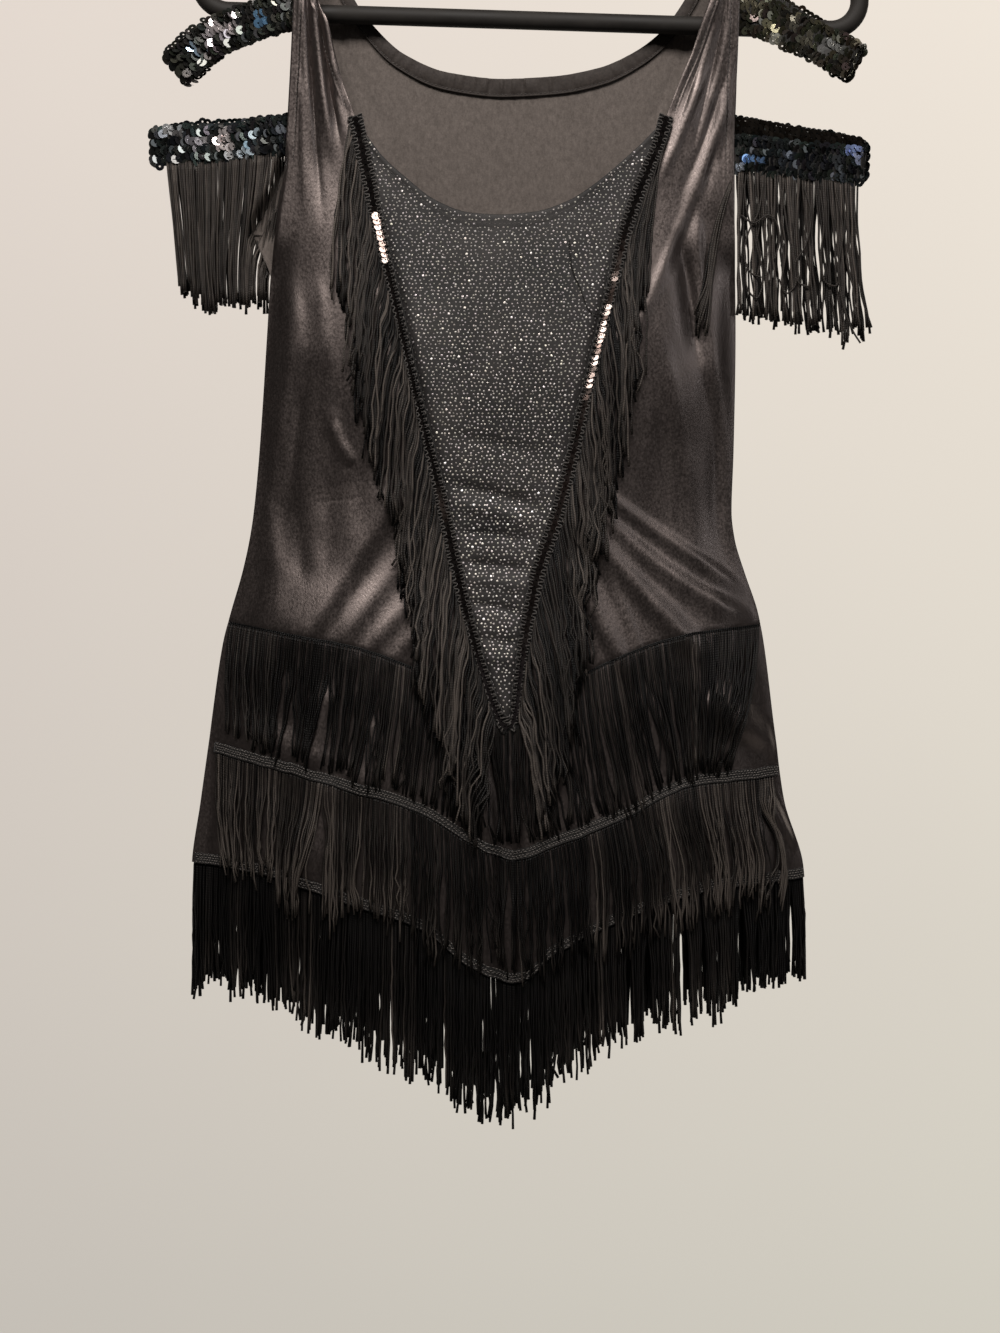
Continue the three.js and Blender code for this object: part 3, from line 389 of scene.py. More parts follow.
def fold_height(side, x, z):
    total = np.zeros(np.broadcast(x, z).shape)
    for x1, z1, x2, z2, wide, high, bow, steep in (FOLDS_FRONT if side == "front" else FOLDS_BACK):
        dx, dz = x2 - x1, z2 - z1
        long = math.hypot(dx, dz)
        t = ((x - x1) * dx + (z - z1) * dz) / long ** 2
        c = np.clip(t, 0, 1)
        away = ((x - x1) * dz - (z - z1) * dx) / long - bow * 4 * c * (1 - c)
        w = wide * (1 + steep * np.tanh(away / wide)) * (0.8 + 0.5 * c)
        over = np.maximum(0, np.maximum(-t, t - 1)) * long
        ends = smooth(c / 0.3 + 0.02) * smooth((1 - c) / 0.34 + 0.02) * np.exp(-(over / 3.0) ** 2)
        total = total + high * np.exp(-np.abs(away / w) ** 1.8) * ends
    return total


def crease_height(side, x, z):
    """Folds with a long gentle side and a short steep one, like shingles."""
    total = np.zeros(np.broadcast(x, z).shape)
    for which, x1, z1, x2, z2, gentle, steep, high, bow in CREASES:
        if which != side:
            continue
        dx, dz = x2 - x1, z2 - z1
        long = math.hypot(dx, dz)
        t = ((x - x1) * dx + (z - z1) * dz) / long ** 2
        c = np.clip(t, 0, 1)
        p = ((x - x1) * dz - (z - z1) * dx) / long - bow * 4 * c * (1 - c)
        if z1 > z2:
            # the gentle side is uphill for lines that run down to the right too
            p = -p if dx < 0 else p
        up, down = (p + gentle) / gentle, (steep - p) / steep
        k = 0.10
        f = -k * np.logaddexp(-up / k, -down / k)
        f = k * np.logaddexp(0, f / k)
        ends = smooth(t / 0.22 + 0.35) * smooth((1 - t) / 0.22 + 0.35)
        total = total + high * f * ends
    return total


def swell_height(side, x, z):
    """Broad, low hollows and swellings of the hanging cloth."""
    total = np.zeros(np.broadcast(x, z).shape)
    for which, x1, z1, x2, z2, wide, high, *low in SWELLS:
        if which != side:
            continue
        # a swell can run out slowly downwards
        down = low[0] if low else 1.0
        dx, dz = x2 - x1, z2 - z1
        long = math.hypot(dx, dz)
        t = ((x - x1) * dx + (z - z1) * dz) / long ** 2
        c = np.clip(t, 0, 1)
        dz_ = z - z1 - c * dz
        away = np.hypot(x - x1 - c * dx, np.where(dz_ < 0, dz_ / down, dz_))
        total = total + high * np.exp(-(away / wide) ** 2)
    return total


def standoff(side, x, z):
    """Distance of a panel's inner surface from the dress's middle plane."""
    l, r = hull["left"](z), hull["right"](z)
    s = np.clip(np.abs((x - (l + r) / 2) / ((r - l) / 2)), 0, 1)
    e, soft = half["edge"](z), half["eased_edge"](z)
    lens = soft + (half[side](z) - soft) * (1 - s ** LENS) + (e - soft) * smooth((s - 0.74) / 0.26)
    if side == "front":
        beside = np.minimum(np.abs(x - inner["left"](z)), np.abs(x - inner["right"](z)))
        inside = (x > inner["left"](z)) & (x < inner["right"](z))
        free = np.where(inside, smooth((beside - 1.5) / 5), smooth((beside - 2.5) / 9))
        free = lerp(free, 1.0, smooth((z - INSET_NECK[0][1] - 1) / 34))
    else:
        free = 1.0
    folds = fold_height(side, x, z) + crease_height(side, x, z) + ripple(x, z, 5 if side == "front" else 9, (16, 44), 0.28)
    # the skirt flares
    flare = (0.035 if side == "front" else 0.025) * 8 * np.logaddexp(0, (-626 - z) / 8)
    thick = smooth((e - 1.0) / 4.0)
    narrow = lerp(0.09, 0.035, smooth((-600 - z) / 30))
    folds = (folds * np.maximum(smooth((1 - s) / narrow), thick)
             + (swell_height(side, x, z) + flare) * np.maximum(smooth((1 - s) / lerp(0.12, 0.17, smooth((-460 - z) / 70))), thick)) * free
    below = smooth((arm_height(x) - z) / 30)
    return lerp(WRAP_R, lens + folds, below)


def surf(side, x, h, lift=0.0):
    """Point above the panel's inner surface at x and height h, lifted along its
    outward normal. Above the arm's centre line, h goes on round the tube."""
    x, h, lift = np.broadcast_arrays(np.asarray(x, float), np.asarray(h, float), np.asarray(lift, float))
    out = -1.0 if side == "front" else 1.0
    arm = arm_height(x)
    step = 0.8
    low = np.minimum(h, arm)
    y = standoff(side, x, low)
    gx = (standoff(side, x + step, low) - standoff(side, x - step, low)) / (2 * step)
    gz = (standoff(side, x, np.minimum(low + step, arm)) - standoff(side, x, low - step)) / (2 * step)
    long = np.sqrt(1 + gx * gx + gz * gz)
    p = np.stack([x - gx / long * lift, out * (y + lift / long), low - gz / long * lift], -1)
    a = np.maximum(h - arm, 0) / WRAP_R
    rr = WRAP_R + lift
    over = np.stack([x, out * rr * np.cos(a), arm + rr * np.sin(a) / math.cos(ARM_SLOPE)], -1)
    return np.where((h > arm)[..., None], over, p)


# ------------------------------------------------------------------ meshes
def build(name, verts, groups, mats, attrs=None, smooth_faces=True):
    """groups are (faces, material index); every face array has one corner count."""
    groups = [(np.asarray(f), m) for f, m in groups if len(f)]
    me = bpy.data.meshes.new(name)
    verts = np.asarray(verts, float).reshape(-1, 3)
    me.vertices.add(len(verts))
    me.vertices.foreach_set("co", (verts * MM).astype(np.float32).ravel())
    loops = np.concatenate([f.ravel() for f, _ in groups]).astype(np.int32)
    sizes = np.concatenate([np.full(len(f), f.shape[1]) for f, _ in groups])
    me.loops.add(len(loops))
    me.polygons.add(len(sizes))
    me.loops.foreach_set("vertex_index", loops)
    me.polygons.foreach_set("loop_start", np.concatenate([[0], np.cumsum(sizes)[:-1]]).astype(np.int32))
    me.polygons.foreach_set("material_index", np.concatenate([np.full(len(f), m) for f, m in groups]).astype(np.int32))
    me.polygons.foreach_set("use_smooth", sizes > 3 if smooth_faces == "sides" else np.full(len(sizes), bool(smooth_faces)))
    for key, data in (attrs or {}).items():
        a = me.attributes.new(name=key, type="FLOAT_VECTOR", domain="POINT")
        a.data.foreach_set("vector", np.asarray(data, np.float32).reshape(-1, 3).ravel())
    me.update(calc_edges=True)
    for m in mats:
        me.materials.append(m)
    ob = bpy.data.objects.new(name, me)
    bpy.context.scene.collection.objects.link(ob)
    return ob


def facing_out(verts, groups):
    """Turns all faces so that the closed mesh has a positive volume."""
    total = 0.0
    for f, _ in groups:
        f = np.asarray(f)
        for k in range(1, f.shape[1] - 1):
            a, b, c = verts[f[:, 0]], verts[f[:, k]], verts[f[:, k + 1]]
            total += np.einsum("ij,ij->i", a, np.cross(b, c)).sum()
    return groups if total > 0 else [(np.asarray(f)[:, ::-1], m) for f, m in groups]


def shell(name, outer, inner_pts, mats, mask=None, attrs=None, inner_slot=1):
    """A closed thin wall between two grids of points; cells outside mask are left out."""
    nv, nu = outer.shape[:2]
    mask = np.ones((nv - 1, nu - 1), bool) if mask is None else mask
    idx = np.arange(nv * nu).reshape(nv, nu)
    n = nv * nu
    j, i = np.nonzero(mask)
    a, b, c, d = idx[j, i], idx[j, i + 1], idx[j + 1, i + 1], idx[j + 1, i]
    out_f = np.stack([a, b, c, d], 1)
    in_f = np.stack([d, c, b, a], 1) + n
    pad = np.pad(mask, 1)
    sides = []
    for dj, di, p, q in ((-1, 0, (0, 0), (0, 1)), (0, 1, (0, 1), (1, 1)), (1, 0, (1, 1), (1, 0)), (0, -1, (1, 0), (0, 0))):
        rim = ~pad[j + 1 + dj, i + 1 + di]
        jj, ii = j[rim], i[rim]
        s, e = idx[jj + p[0], ii + p[1]], idx[jj + q[0], ii + q[1]]
        sides.append(np.stack([e, s, s + n, e + n], 1))
    verts = np.concatenate([outer.reshape(-1, 3), inner_pts.reshape(-1, 3)])
    groups = [(out_f, 0), (in_f, inner_slot if len(mats) > 1 else 0), (np.concatenate(sides), 0)]
    used = np.zeros(2 * n, bool)
    for f, _ in groups:
        used[f.ravel()] = True
    new = np.cumsum(used) - 1
    verts = verts[used]
    groups = facing_out(verts, [(new[f], m) for f, m in groups])
    extra = {k: np.concatenate([v.reshape(-1, 3)] * 2)[used] for k, v in (attrs or {}).items()}
    return build(name, verts, groups, mats, extra)


def tube_arrays(paths, radius, sides=5, closed=False, shade=None):
    """Tubes along many paths at once: paths (S, K, 3), radius number or (S, K)."""
    paths = np.asarray(paths, float)
    s_n, k_n = paths.shape[:2]
    radius = np.broadcast_to(np.asarray(radius, float), (s_n, k_n))
    if closed:
        tan = np.roll(paths, -1, 1) - np.roll(paths, 1, 1)
    else:
        tan = np.gradient(paths, axis=1)
    tan /= np.linalg.norm(tan, axis=2, keepdims=True) + 1e-12
    mean = np.abs(tan).mean(1)
    ref = np.zeros((s_n, 1, 3))
    pick = np.where(mean[:, 1] < 0.8, 1, 0)
    ref[np.arange(s_n), 0, pick] = 1.0
    side = np.cross(tan, ref)
    side /= np.linalg.norm(side, axis=2, keepdims=True) + 1e-12
    up = np.cross(side, tan)
    ang = np.arange(sides) / sides * 2 * math.pi
    ring = (side[:, :, None] * np.cos(ang)[None, None, :, None] + up[:, :, None] * np.sin(ang)[None, None, :, None])
    verts = paths[:, :, None] + ring * radius[:, :, None, None]
    idx = np.arange(s_n * k_n * sides).reshape(s_n, k_n, sides)
    nxt = np.roll(idx, -1, 2)
    if closed:
        a, b = idx, np.roll(idx, -1, 1)
        an, bn = nxt, np.roll(nxt, -1, 1)
    else:
        a, b, an, bn = idx[:, :-1], idx[:, 1:], nxt[:, :-1], nxt[:, 1:]
    quads = np.stack([a, an, bn, b], -1).reshape(-1, 4)
    tris = []
    if not closed:
        first, last = idx[:, 0], idx[:, -1]
        for q in range(1, sides - 1):
            tris.append(np.stack([first[:, 0], first[:, q + 1], first[:, q]], 1))
            tris.append(np.stack([last[:, 0], last[:, q], last[:, q + 1]], 1))
    seg = np.linalg.norm(np.diff(paths, axis=1), axis=2)
    along = np.concatenate([np.zeros((s_n, 1)), np.cumsum(seg, 1)], 1)
    if shade is None:
        shade = (np.arange(s_n)[:, None] * 0.137) % 1.0
    shade = np.broadcast_to(np.asarray(shade, float), (s_n, k_n))
    st = np.stack(np.broadcast_arrays(ang[None, None, :] / (2 * math.pi), along[:, :, None], shade[:, :, None]), -1)
    return verts.reshape(-1, 3), quads, (np.concatenate(tris) if tris else np.zeros((0, 3), int)), st.reshape(-1, 3)


def tubes(name, parts, mats, smooth_faces="sides"):
    """Joins several sets of tubes in one mesh. parts: (paths, radius, sides, material index, closed, tone)."""
    verts, groups, st, base = [], [], [], 0
    for paths, radius, sides, slot, closed, *tone in parts:
        v, q, t, s = tube_arrays(paths, radius, sides, closed, *tone)
        verts.append(v)
        st.append(s)
        part = facing_out(v, [(q, slot), (t, slot)] if len(t) else [(q, slot)])
        groups += [(f + base, m) for f, m in part]
        base += len(v)
    return build(name, np.concatenate(verts), groups, mats, {"st": np.concatenate(st)}, smooth_faces)


def discs(name, centre, normal, along, radius, hole, sides, thick, cup, mats, tint):
    """Many small round plates, each a closed ring or a closed disc."""
    n = len(centre)
    normal = normal / np.linalg.norm(normal, axis=1, keepdims=True)
    a = along - (along * normal).sum(1, keepdims=True) * normal
    a /= np.linalg.norm(a, axis=1, keepdims=True)
    b = np.cross(normal, a)
    ang = np.arange(sides) / sides * 2 * math.pi
    ring = a[:, None] * np.cos(ang)[None, :, None] + b[:, None] * np.sin(ang)[None, :, None]
    radius = np.broadcast_to(np.asarray(radius, float), (n,))[:, None, None]
    rim = centre[:, None] + ring * radius + normal[:, None] * cup
    lift = normal[:, None] * thick
    idx = np.arange(sides)
    nx = (idx + 1) % sides
    if hole > 0:
        eye = centre[:, None] + ring * hole
        v = np.concatenate([rim, rim - lift, eye, eye - lift], 1)
        base = np.arange(n)[:, None, None] * (4 * sides)
        q = [np.stack([idx, nx, nx + 2 * sides, idx + 2 * sides], 1),
             np.stack([idx + sides, idx + 3 * sides, nx + 3 * sides, nx + sides], 1),
             np.stack([idx, idx + sides, nx + sides, nx], 1),
             np.stack([idx + 2 * sides, nx + 2 * sides, nx + 3 * sides, idx + 3 * sides], 1)]
        groups = [((np.concatenate(q)[None] + base).reshape(-1, 4), 0)]
        per = 4 * sides
    else:
        mid = (centre + normal[:, :] * 0)[:, None]
        v = np.concatenate([rim, rim - lift, mid, mid - lift], 1)
        base = np.arange(n)[:, None, None] * (2 * sides + 2)
        q = np.stack([idx, idx + sides, nx + sides, nx], 1)
        t = np.concatenate([np.stack([idx, nx, np.full(sides, 2 * sides)], 1),
                            np.stack([nx + sides, idx + sides, np.full(sides, 2 * sides + 1)], 1)])
        groups = [((q[None] + base).reshape(-1, 4), 0), ((t[None] + base).reshape(-1, 3), 0)]
        per = 2 * sides + 2
    flat = v.reshape(-1, 3)
    groups = facing_out(flat, groups)
    return build(name, flat, groups, mats, {"tint": np.repeat(tint, per, axis=0)}, False)


def spaced(first, last, pitch, rng=None, jitter=0.0):
    n = max(2, int(round(abs(last - first) / pitch)) + 1)
    p = np.linspace(first, last, n)
    if rng is not None:
        p = p + rng.uniform(-jitter, jitter, n) * pitch
    return p


def wander(x, rng, size, amp):
    """Smooth random line over x."""
    lo, hi = float(np.min(x)) - size, float(np.max(x)) + size
    knots = np.arange(lo, hi + size, size)
    vals = rng.normal(0, amp, len(knots))
    t = (x - lo) / size
    i = np.clip(t.astype(int), 0, len(knots) - 2)
    f = smooth(t - i)
    return vals[i] * (1 - f) + vals[i + 1] * f


# ------------------------------------------------------------------ camera, lights, backdrop
scene = bpy.context.scene
scene.view_settings.view_transform = "Standard"

cam_data = bpy.data.cameras.new("camera")
cam_data.sensor_width = 36.0
cam_data.lens = 55.73
cam_data.shift_y = -0.0521
cam_data.clip_end = 100.0
cam = bpy.data.objects.new("camera", cam_data)
cam.location = (-0.0248, -1.300, -0.5711)
cam.rotation_euler = (math.radians(90), 0, 0)
scene.collection.objects.link(cam)
scene.camera = cam


def lamp(name, place, aim, size, watts, color):
    d = bpy.data.lights.new(name, "AREA")
    d.shape = "RECTANGLE"
    d.size, d.size_y = size
    d.energy = watts
    d.color = color
    o = bpy.data.objects.new(name, d)
    o.location = place
    o.rotation_euler = (Vector(aim) - Vector(place)).to_track_quat("-Z", "Y").to_euler()
    scene.collection.objects.link(o)
    return o


lamp("key", (-0.10, -1.18, 0.74), (-0.02, 0, -0.48), (1.62, 0.42), 41, (1.0, 0.962, 0.925))
lamp("top", (0.10, -0.9, 1.00), (-0.02, 0, -0.45), (1.2, 0.5), 3, (1.0, 0.97, 0.94))
lamp("side", (1.6, -1.2, 0.10), (-0.02, 0, -0.45), (0.35, 0.9), 2.0, (0.96, 0.98, 1.0))
lamp("rear", (0.7, 1.9, 0.4), (-0.02, 0, -0.5), (1.2, 0.8), 5, (1.0, 0.98, 0.96))

world = bpy.data.worlds.new("room")
scene.world = world
world.use_nodes = True
world.node_tree.nodes["Background"].inputs["Color"].default_value = (0.60, 0.565, 0.535, 1)
world.node_tree.nodes["Background"].inputs["Strength"].default_value = 0.075


# ------------------------------------------------------------------ materials
def material(name, base, rough, metal=0.0, spec=0.5, sheen=0.0, sheen_rough=0.4, sheen_tint=(1, 1, 1), coat=0.0,
             coat_rough=0.15, aniso=0.0):
    m = bpy.data.materials.new(name)
    m.use_nodes = True
    nt = m.node_tree
    b = nt.nodes["Principled BSDF"]
    b.inputs["Base Color"].default_value = (*base, 1)
    b.inputs["Roughness"].default_value = rough
    b.inputs["Metallic"].default_value = metal
    b.inputs["Specular IOR Level"].default_value = spec
    b.inputs["Sheen Weight"].default_value = sheen
    b.inputs["Sheen Roughness"].default_value = sheen_rough
    b.inputs["Sheen Tint"].default_value = (*sheen_tint, 1)
    b.inputs["Coat Weight"].default_value = coat
    b.inputs["Coat Roughness"].default_value = coat_rough
    b.inputs["Anisotropic"].default_value = aniso
    return m, nt, b


def node(nt, kind, inputs=None, **props):
    n = nt.nodes.new(kind)
    for k, v in props.items():
        setattr(n, k, v)
    for k, v in (inputs or {}).items():
        n.inputs[k].default_value = v
    return n


def coords(nt, scale):
    t = node(nt, "ShaderNodeTexCoord")
    m = node(nt, "ShaderNodeMapping", {"Scale": scale})
    nt.links.new(t.outputs["Object"], m.inputs["Vector"])
    return m.outputs["Vector"]


def noise(nt, vec, scale, detail=2.0, rough=0.5):
    n = node(nt, "ShaderNodeTexNoise", {"Scale": scale, "Detail": detail, "Roughness": rough})
    nt.links.new(vec, n.inputs["Vector"])
    return n.outputs["Fac"]


def ramp(nt, fac, low, high, a, b):
    """Colours a..b as fac goes from low to high."""
    r = node(nt, "ShaderNodeValToRGB")
    r.color_ramp.elements[0].position = low
    r.color_ramp.elements[0].color = (*a, 1)
    r.color_ramp.elements[1].position = high
    r.color_ramp.elements[1].color = (*b, 1)
    nt.links.new(fac, r.inputs["Fac"])
    return r.outputs["Color"]


def remap(nt, fac, lo, hi, to_lo, to_hi):
    r = node(nt, "ShaderNodeMapRange", {"From Min": lo, "From Max": hi, "To Min": to_lo, "To Max": to_hi})
    nt.links.new(fac, r.inputs["Value"])
    return r.outputs["Result"]


def math_node(nt, op, a, b):
    n = node(nt, "ShaderNodeMath", operation=op)
    for i, v in enumerate((a, b)):
        if isinstance(v, (int, float)):
            n.inputs[i].default_value = v
        elif v is not None:
            nt.links.new(v, n.inputs[i])
    return n.outputs[0]


def bump(nt, b, height, strength, distance, after=None):
    n = node(nt, "ShaderNodeBump", {"Strength": strength, "Distance": distance})
    nt.links.new(height, n.inputs["Height"])
    if after is not None:
        nt.links.new(after, n.inputs["Normal"])
    nt.links.new(n.outputs["Normal"], b.inputs["Normal"])
    return n.outputs["Normal"]


def satin_material(name, dark, light, rough, spec):
    m, nt, b = material(name, dark, rough, spec=spec, sheen=0.02, sheen_rough=0.35, sheen_tint=(1.0, 0.95, 0.93))
    b.inputs["Specular Tint"].default_value = (1.0, 0.83, 0.775, 1)
    b.inputs["IOR"].default_value = 1.72
    streak = noise(nt, coords(nt, (1.0, 1.0, 0.16)), 95, 3, 0.6)
    nt.links.new(ramp(nt, streak, 0.3, 0.72, dark, light), b.inputs["Base Color"])
    fine = noise(nt, coords(nt, (1.0, 1.0, 0.7)), 780, 2, 0.6)
    blend = math_node(nt, "ADD", math_node(nt, "MULTIPLY", streak, 0.35), math_node(nt, "MULTIPLY", fine, 0.65))
    nt.links.new(remap(nt, blend, 0.35, 0.65, rough + 0.12, rough - 0.08), b.inputs["Roughness"])
    grain = noise(nt, coords(nt, (1.0, 1.0, 0.5)), 850, 2, 0.6)
    soft = noise(nt, coords(nt, (1.0, 1.0, 0.30)), 95, 2, 0.5)
    first = bump(nt, b, grain, 0.42, 0.00027)
    bump(nt, b, soft, 0.17, 0.0009, first)
    return m


SATIN = satin_material("satin_right_side", (0.0017, 0.00135, 0.0013), (0.0042, 0.0034, 0.0032), 0.358, 0.95)
m, nt, b = material("satin_wrong_side", (0.07, 0.06, 0.055), 0.85, spec=0.25, sheen=0.12, sheen_rough=0.6)
rib = node(nt, "ShaderNodeTexWave", {"Scale": 420.0, "Distortion": 1.2, "Detail": 1.0}, bands_direction="X")
nt.links.new(coords(nt, (1, 1, 1)), rib.inputs["Vector"])
fuzz = noise(nt, coords(nt, (1, 1, 1)), 900, 3, 0.7)
loops_ = noise(nt, coords(nt, (1, 1, 0.6)), 420, 3, 0.65)
knit_mix = math_node(nt, "ADD", math_node(nt, "MULTIPLY", fuzz, 0.5), math_node(nt, "MULTIPLY", loops_, 0.5))
nt.links.new(ramp(nt, knit_mix, 0.34, 0.68, (0.062, 0.050, 0.043), (0.128, 0.106, 0.094)), b.inputs["Base Color"])
bump(nt, b, math_node(nt, "ADD", rib.outputs["Fac"], knit_mix), 0.5, 0.0002)
WRONG = m

m, nt, b = material("glitter_knit", (0.02, 0.018, 0.017), 0.7, spec=0.35, sheen=0.08)
knit = noise(nt, coords(nt, (1, 1, 1)), 1300, 3, 0.7)
haze = noise(nt, coords(nt, (1, 1, 1)), 26, 2, 0.5)
nt.links.new(ramp(nt, math_node(nt, "MULTIPLY", knit, haze), 0.12, 0.42, (0.005, 0.0043, 0.0041), (0.030, 0.026, 0.0245)), b.inputs["Base Color"])
bump(nt, b, knit, 0.3, 0.0002)
KNIT = m


def fringe_material(name, dark, light, rough, spec):
    m, nt, b = material(name, dark, rough, spec=spec)
    a = node(nt, "ShaderNodeAttribute", attribute_name="st")
    s = node(nt, "ShaderNodeSeparateXYZ")
    nt.links.new(a.outputs["Vector"], s.inputs[0])
    # braid: two slopes that cross round the cord every 1.5 mm
    turn = math_node(nt, "MULTIPLY", s.outputs[0], 2 * math.pi)
    run = math_node(nt, "MULTIPLY", s.outputs[1], 2 * math.pi / 1.5)
    one = math_node(nt, "SINE", math_node(nt, "ADD", turn, run), None)
    two = math_node(nt, "SINE", math_node(nt, "SUBTRACT", turn, run), None)
    braid = math_node(nt, "ADD", one, two)
    bump(nt, b, braid, 0.35, 0.00014)
    fleck = noise(nt, coords(nt, (1, 1, 0.5)), 420, 2, 0.6)
    tone = math_node(nt, "MULTIPLY", s.outputs[2], remap(nt, fleck, 0.3, 0.7, 0.65, 1.25))
    nt.links.new(ramp(nt, tone, 0.0, 1.0, dark, light), b.inputs["Base Color"])
    nt.links.new(remap(nt, braid, -2, 2, rough + 0.08, rough - 0.06), b.inputs["Roughness"])
    return m


CORD = fringe_material("chainette_cord", (0.0011, 0.0009, 0.0009), (0.068, 0.0565, 0.0485), 0.46, 0.16)

m, nt, b = material("woven_header", (0.03, 0.027, 0.025), 0.78, spec=0.3, sheen=0.15)
weave = node(nt, "ShaderNodeTexVoronoi", {"Scale": 1100.0, "Randomness": 0.6})
nt.links.new(coords(nt, (1, 1, 1.3)), weave.inputs["Vector"])
nt.links.new(ramp(nt, weave.outputs["Distance"], 0.1, 0.7, (0.022, 0.0195, 0.018), (0.006, 0.0052, 0.0048)), b.inputs["Base Color"])
bump(nt, b, weave.outputs["Distance"], 0.5, 0.0003)
HEADER = m

m, nt, b = material("header_chain", (0.05, 0.045, 0.042), 0.5, spec=0.5)
lint = noise(nt, coords(nt, (1, 1, 1)), 800, 2, 0.6)
nt.links.new(ramp(nt, lint, 0.3, 0.7, (0.055, 0.049, 0.045), (0.150, 0.132, 0.120)), b.inputs["Base Color"])
bump(nt, b, lint, 0.3, 0.0001)
CHAIN = m

m, nt, b = material("thread", (0.016, 0.014, 0.013), 0.55, spec=0.4, sheen=0.1)
a = node(nt, "ShaderNodeAttribute", attribute_name="st")
s = node(nt, "ShaderNodeSeparateXYZ")
nt.links.new(a.outputs["Vector"], s.inputs[0])
ply = math_node(nt, "SINE", math_node(nt, "ADD", math_node(nt, "MULTIPLY", s.outputs[0], 6.283),
                                      math_node(nt, "MULTIPLY", s.outputs[1], 9.0)), None)
bump(nt, b, ply, 0.4, 0.00008)
nt.links.new(ramp(nt, ply, -1.0, 1.0, (0.040, 0.035, 0.032), (0.105, 0.092, 0.083)), b.inputs["Base Color"])
THREAD = m


def plate_material(name, rough, metal, coat, spread):
    m, nt, b = material(name, (0.03, 0.03, 0.028), rough, metal=metal, spec=0.6, coat=coat, coat_rough=0.08)
    a = node(nt, "ShaderNodeAttribute", attribute_name="tint")
    film = noise(nt, coords(nt, (1, 1, 1)), 420, 2, 0.6)
    mix = node(nt, "ShaderNodeMix", data_type="RGBA", blend_type="MULTIPLY")
    mix.inputs["Factor"].default_value = 0.55
    nt.links.new(a.outputs["Color"], mix.inputs["A"])
    nt.links.new(ramp(nt, film, 0.3, 0.75, (0.55, 0.55, 0.58), (1.0, 1.0, 0.98)), mix.inputs["B"])
    nt.links.new(mix.outputs["Result"], b.inputs["Base Color"])
    nt.links.new(remap(nt, film, 0.25, 0.75, rough - spread, rough + spread), b.inputs["Roughness"])
    bump(nt, b, film, 0.12, 0.0001)
    return m


SEQUIN = plate_material("sequin_film", 0.20, 0.75, 0.5, 0.06)
GLINT = plate_material("glitter_dot", 0.50, 0.60, 0.0, 0.08)

m, nt, b = material("hanger_plastic", (0.020, 0.019, 0.0155), 0.42, spec=0.20)
peel = noise(nt, coords(nt, (1, 1, 1)), 260, 3, 0.55)
wear = noise(nt, coords(nt, (1, 1, 1)), 42, 4, 0.6)
nt.links.new(ramp(nt, wear, 0.35, 0.75, (0.0125, 0.0108, 0.0095), (0.0215, 0.0188, 0.0165)), b.inputs["Base Color"])
nt.links.new(remap(nt, wear, 0.3, 0.7, 0.56, 0.70), b.inputs["Roughness"])
bump(nt, b, peel, 0.10, 0.0003)
PLASTIC = m


def backdrop_material(name, left, right, low, glow):
    """Glowing wall with painted light: its tone changes evenly from left to right, brighter to the right, and painted
    shade darkens it downwards.
    """
    m, nt, b = material(name, (0.06, 0.055, 0.05), 0.9, spec=0.1)
    t = node(nt, "ShaderNodeTexCoord")
    sep = node(nt, "ShaderNodeSeparateXYZ")
    nt.links.new(t.outputs["Object"], sep.inputs[0])
    soft = noise(nt, coords(nt, (1, 1, 1)), 0.9, 2, 0.5)
    side_ = remap(nt, sep.outputs[0], -1.25, 1.15, 0.0, 1.0)
    side_ = math_node(nt, "ADD", side_, math_node(nt, "MULTIPLY", math_node(nt, "SUBTRACT", soft, 0.5), 0.35))
    tone = ramp(nt, side_, 0.0, 1.0, left, right)
    fall = ramp(nt, remap(nt, sep.outputs[2], -2.2, 0.7, 0.0, 1.0), 0.0, 1.0, low, (1.0, 1.0, 1.0))
    mix = node(nt, "ShaderNodeMix", data_type="RGBA", blend_type="MULTIPLY")
    mix.inputs["Factor"].default_value = 1.0
    nt.links.new(tone, mix.inputs["A"])
    nt.links.new(fall, mix.inputs["B"])
    nt.links.new(mix.outputs["Result"], b.inputs["Emission Color"])
    b.inputs["Emission Strength"].default_value = glow
    return m


def plane(name, corners, mat):
    return build(name, np.array(corners, float), [(np.array([[0, 1, 2, 3]]), 0)], [mat], smooth_faces=False)


WALL = backdrop_material("pale_wall", (0.745, 0.665, 0.605), (0.85, 0.775, 0.685), (0.72, 0.755, 0.75), 1.0)
FLOOR = backdrop_material("pale_floor", (0.60, 0.56, 0.52), (0.64, 0.60, 0.55), (1.0, 1.0, 1.0), 0.40)
plane("backdrop", [(-6000, 3200, -2400), (6000, 3200, -2400), (6000, 3200, 3600), (-6000, 3200, 3600)], WALL)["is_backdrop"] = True
plane("floor", [(-6000, -1300, -2350), (6000, -1300, -2350), (6000, 3250, -2350), (-6000, 3250, -2350)], FLOOR)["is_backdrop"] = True


def place(ob, slot, *nodes):
    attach(ob, "root")
    if nodes:
        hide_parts(*nodes)
    return ob


# ------------------------------------------------------------------ satin and inset
def hem_rise(d, wide, high=0.50):
    """Turned hem: a double edge up to `wide`, a stitch groove on it, and a rolled rim."""
    return (high * (1 - smooth((d - wide) / 0.9)) - 0.42 * np.exp(-((d - wide + 0.9) / 0.60) ** 2)
            - 0.35 * np.exp(-(d / 0.6) ** 2))


def edge_rows(n, near, wide):
    """0..1 in n steps, with extra steps close to both ends; near is the share given to each."""
    k = max(3, int(n * 0.12))
    a = np.linspace(0, near, k, endpoint=False)
    c = np.linspace(near, 1 - wide, n - 2 * k, endpoint=False)
    e = np.linspace(1 - wide, 1, k)
    return np.concatenate([a, c, e])


